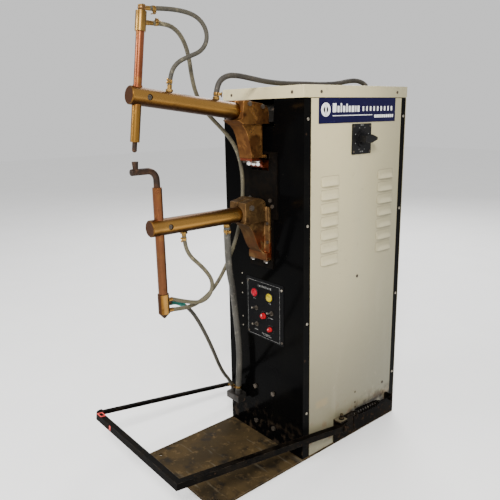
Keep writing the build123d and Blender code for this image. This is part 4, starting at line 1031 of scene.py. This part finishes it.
def make_printing():
    bm = bmesh.new()
    mark(bm, -77, 578.2, 82, 579)
    mark(bm, 81.2, 386, 82, 579)
    mark(bm, -77, 386, 82, 386.8)
    mark(bm, -77, 386, -76.2, 579)
    strokes(bm, -24, 561, (2, 3, 1.5, 2.5, 2, 3, 1.5, 2.5, 2, 3), 7, 4.6)
    strokes(bm, -47, 514, (3, 2, 3.5), 2.6, 1.5)
    strokes(bm, 28, 512, (3, 2, 3.5), 2.6, 1.5)
    strokes(bm, 28, 462, (3, 2, 3, 4, 2), 2.6, 1.6)
    strokes(bm, -44, 404, (3, 2, 3, 4), 2.6, 1.6)
    for row, z in enumerate((399, 394)):
        strokes(bm, -6 + 6 * row, z, (3, 5, 2, 4, 3, 5, 2, 3), 2.4, 1.8)
    for (cx, cz), reach, marks in ((TIME_KNOB, 16, 11), (HEAT_KNOB, 13.5, 9)):
        for i in range(marks):
            turn = math.radians(225 - 270 * i / (marks - 1))
            x, z = cx + reach * math.cos(turn), cz + reach * math.sin(turn)
            mark(bm, x - 0.6, z - 0.6, x + 0.6, z + 0.6)
    piece("panel_lettering", bm, "print_grey", "frame")
    bm = bmesh.new()
    for i in range(8):
        turn = math.tau * (i + 0.5) / 8
        dot = mm(SWITCH_FACE, 257 + 34 * math.cos(turn), 1040 + 36 * math.sin(turn))
        lathe([(1.5, 0), (1.5, 0.3), (0, 0.3)], dot, (1, 0, 0), 10, bm)
    for y, z in ((250, 1080), (258, 1080), (249, 998), (258, 998)):
        slab(bm, (SWITCH_FACE, y, z), (SWITCH_FACE + 0.25, y + 4, z + 3.5))
    piece("dial_marks", bm, "print_grey", "frame")
    bm = bmesh.new()
    face = COVER_X + 1.55
    top = face + 0.3
    lathe([(10, 0), (20, 0), (20, 0.3), (10, 0.3), (10, 0)], mm(face, 90, 1130), (1, 0, 0), 40, bm)
    slab(bm, (face, 87, 1110), (top, 93, 1150))
    y = 120
    bars = ((16, 26), (9, 18), (6, 26), (10, 18), (6, 24), (9, 18), (12, 18), (5, 18), (10, 18))
    for width, height in bars:
        slab(bm, (face, y, 1122), (top, y + width, 1122 + height), 0.12)
        y += width + 5
    for i in range(9):
        slab(bm, (face, 258 + 18 * i, 1124), (top, 265 + 18 * i, 1138))
    slab(bm, (face, 120, 1111), (top, 306, 1113))
    for i in range(10):
        slab(bm, (face, 318 + 10 * i, 1103), (top, 325 + 10 * i, 1112))
    piece("nameplate_pattern", bm, "print_white", "frame")


# ---- tapes and elbow ----------------------------------------------------
PEDAL_PIVOT = (183, 63)
PEDAL_TILT = math.radians(8.6)
TAPE_SPAN = (0.290, 0.347)
RED_TAPES = (
    ((-268, -692, 10), (-238, -688, 10.5)), ((-268, -676, 10), (-238, -672, 10.5)),
    ((-268, -688, 10), (-263, -676, 10.5)), ((-243, -688, 10), (-238, -676, 10.5)),
    ((-176.5, -692.45, -6), (-167.5, -691.95, 8)),
)


def on_pedal(x, y, rise):
    """A point in the pedal's own plane, in millimetres, measured from its shaft."""
    return mm(x, PEDAL_PIVOT[0] + y * math.cos(PEDAL_TILT) + rise * math.sin(PEDAL_TILT),
              PEDAL_PIVOT[1] - y * math.sin(PEDAL_TILT) + rise * math.cos(PEDAL_TILT))


def make_tapes(lines):
    line = lines["taped"]
    wrap = [p for p in line if TAPE_SPAN[0] < -p.y < TAPE_SPAN[1]]
    piece("teal_hose_tape", tube(wrap, 0.0082, 24), "teal_tape", "frame", sharp=70)
    bm = bmesh.new()
    for low, high in RED_TAPES:
        for v in slab(bm, low, high):
            v.co = on_pedal(*(v.co / MM))
    piece("red_pedal_tape", bm, "red_tape", "pedal")


def make_elbow():
    """The ball elbow on top of the upper electrode holder."""
    bm = bmesh.new()
    bmesh.ops.create_uvsphere(bm, u_segments=28, v_segments=18, radius=0.0098,
                              matrix=Matrix.Translation(mm(0, -395.5, 1388)))
    lathe([(9.4, 0), (9.4, 5), (8.2, 6)], mm(0, -393, 1389), (0, 1, 0), 28, bm)
    piece("water_elbow", bm, "bronze", "rocker", sharp=50)


# ---- CAD nodes ----------------------------------------------------------
NODE_FINISH = {
    "lower_arm_holder": "aged_bronze",
    "lower_water_head": "bronze_bar",
    "upper_clamp_bolts": "dark_bolt",
    "toggle_bodies": "dark_bolt",
    "pedal_brackets": "rusted_black",
    "pedal_shaft": "rusted_black",
    "toggle_lever_left": "zinc_screw",
    "toggle_lever_lower": "zinc_screw",
    "toggle_lever_right": "zinc_screw",
}
CAST_NODES = ("upper_arm_holder", "lower_arm_holder")
SOFT_NODES = {
    "pedal_loop": 1.6, "pedal_brackets": 1.0, "hex_bolts": 0.7, "upper_clamp_bolts": 0.7,
    "selector_knob": 2.4, "base_plate": 0.8, "nameplate": 0.4, "selector_plate": 0.6,
    "lower_water_head": 1.2, "upper_water_head": 1.2,
}


def dress_nodes():
    """Gives every CAD node its finish, castings a rough skin, and some nodes bevels in millimetres."""
    slot_of = {part["node"]: part["material_slot"] for part in frame["record"]["subparts"]}
    for name, obj in frame["nodes"].items():
        obj.data.materials.clear()
        obj.data.materials.append(MATERIALS[NODE_FINISH.get(name, slot_of[name])])
        if name in CAST_NODES:
            remesh = obj.modifiers.new("cast skin", "REMESH")
            remesh.mode = "VOXEL"
            remesh.voxel_size = 0.0013
            remesh.use_smooth_shade = True
            smooth = obj.modifiers.new("cast corners", "SMOOTH")
            smooth.factor = 0.5
            smooth.iterations = 7
        if name in SOFT_NODES:
            bevel = obj.modifiers.new("soft edges", "BEVEL")
            bevel.width = SOFT_NODES[name] * MM
            bevel.segments = 2
            bevel.limit_method = "ANGLE"
            bevel.angle_limit = math.radians(40)


make_camera()
make_light()
make_floor()
dress_nodes()
hose_lines = make_hoses()
make_screws()
make_fixings()
make_louvres()
make_spring()
make_shunt()
make_controls()
make_printing()
make_tapes(hose_lines)
make_elbow()
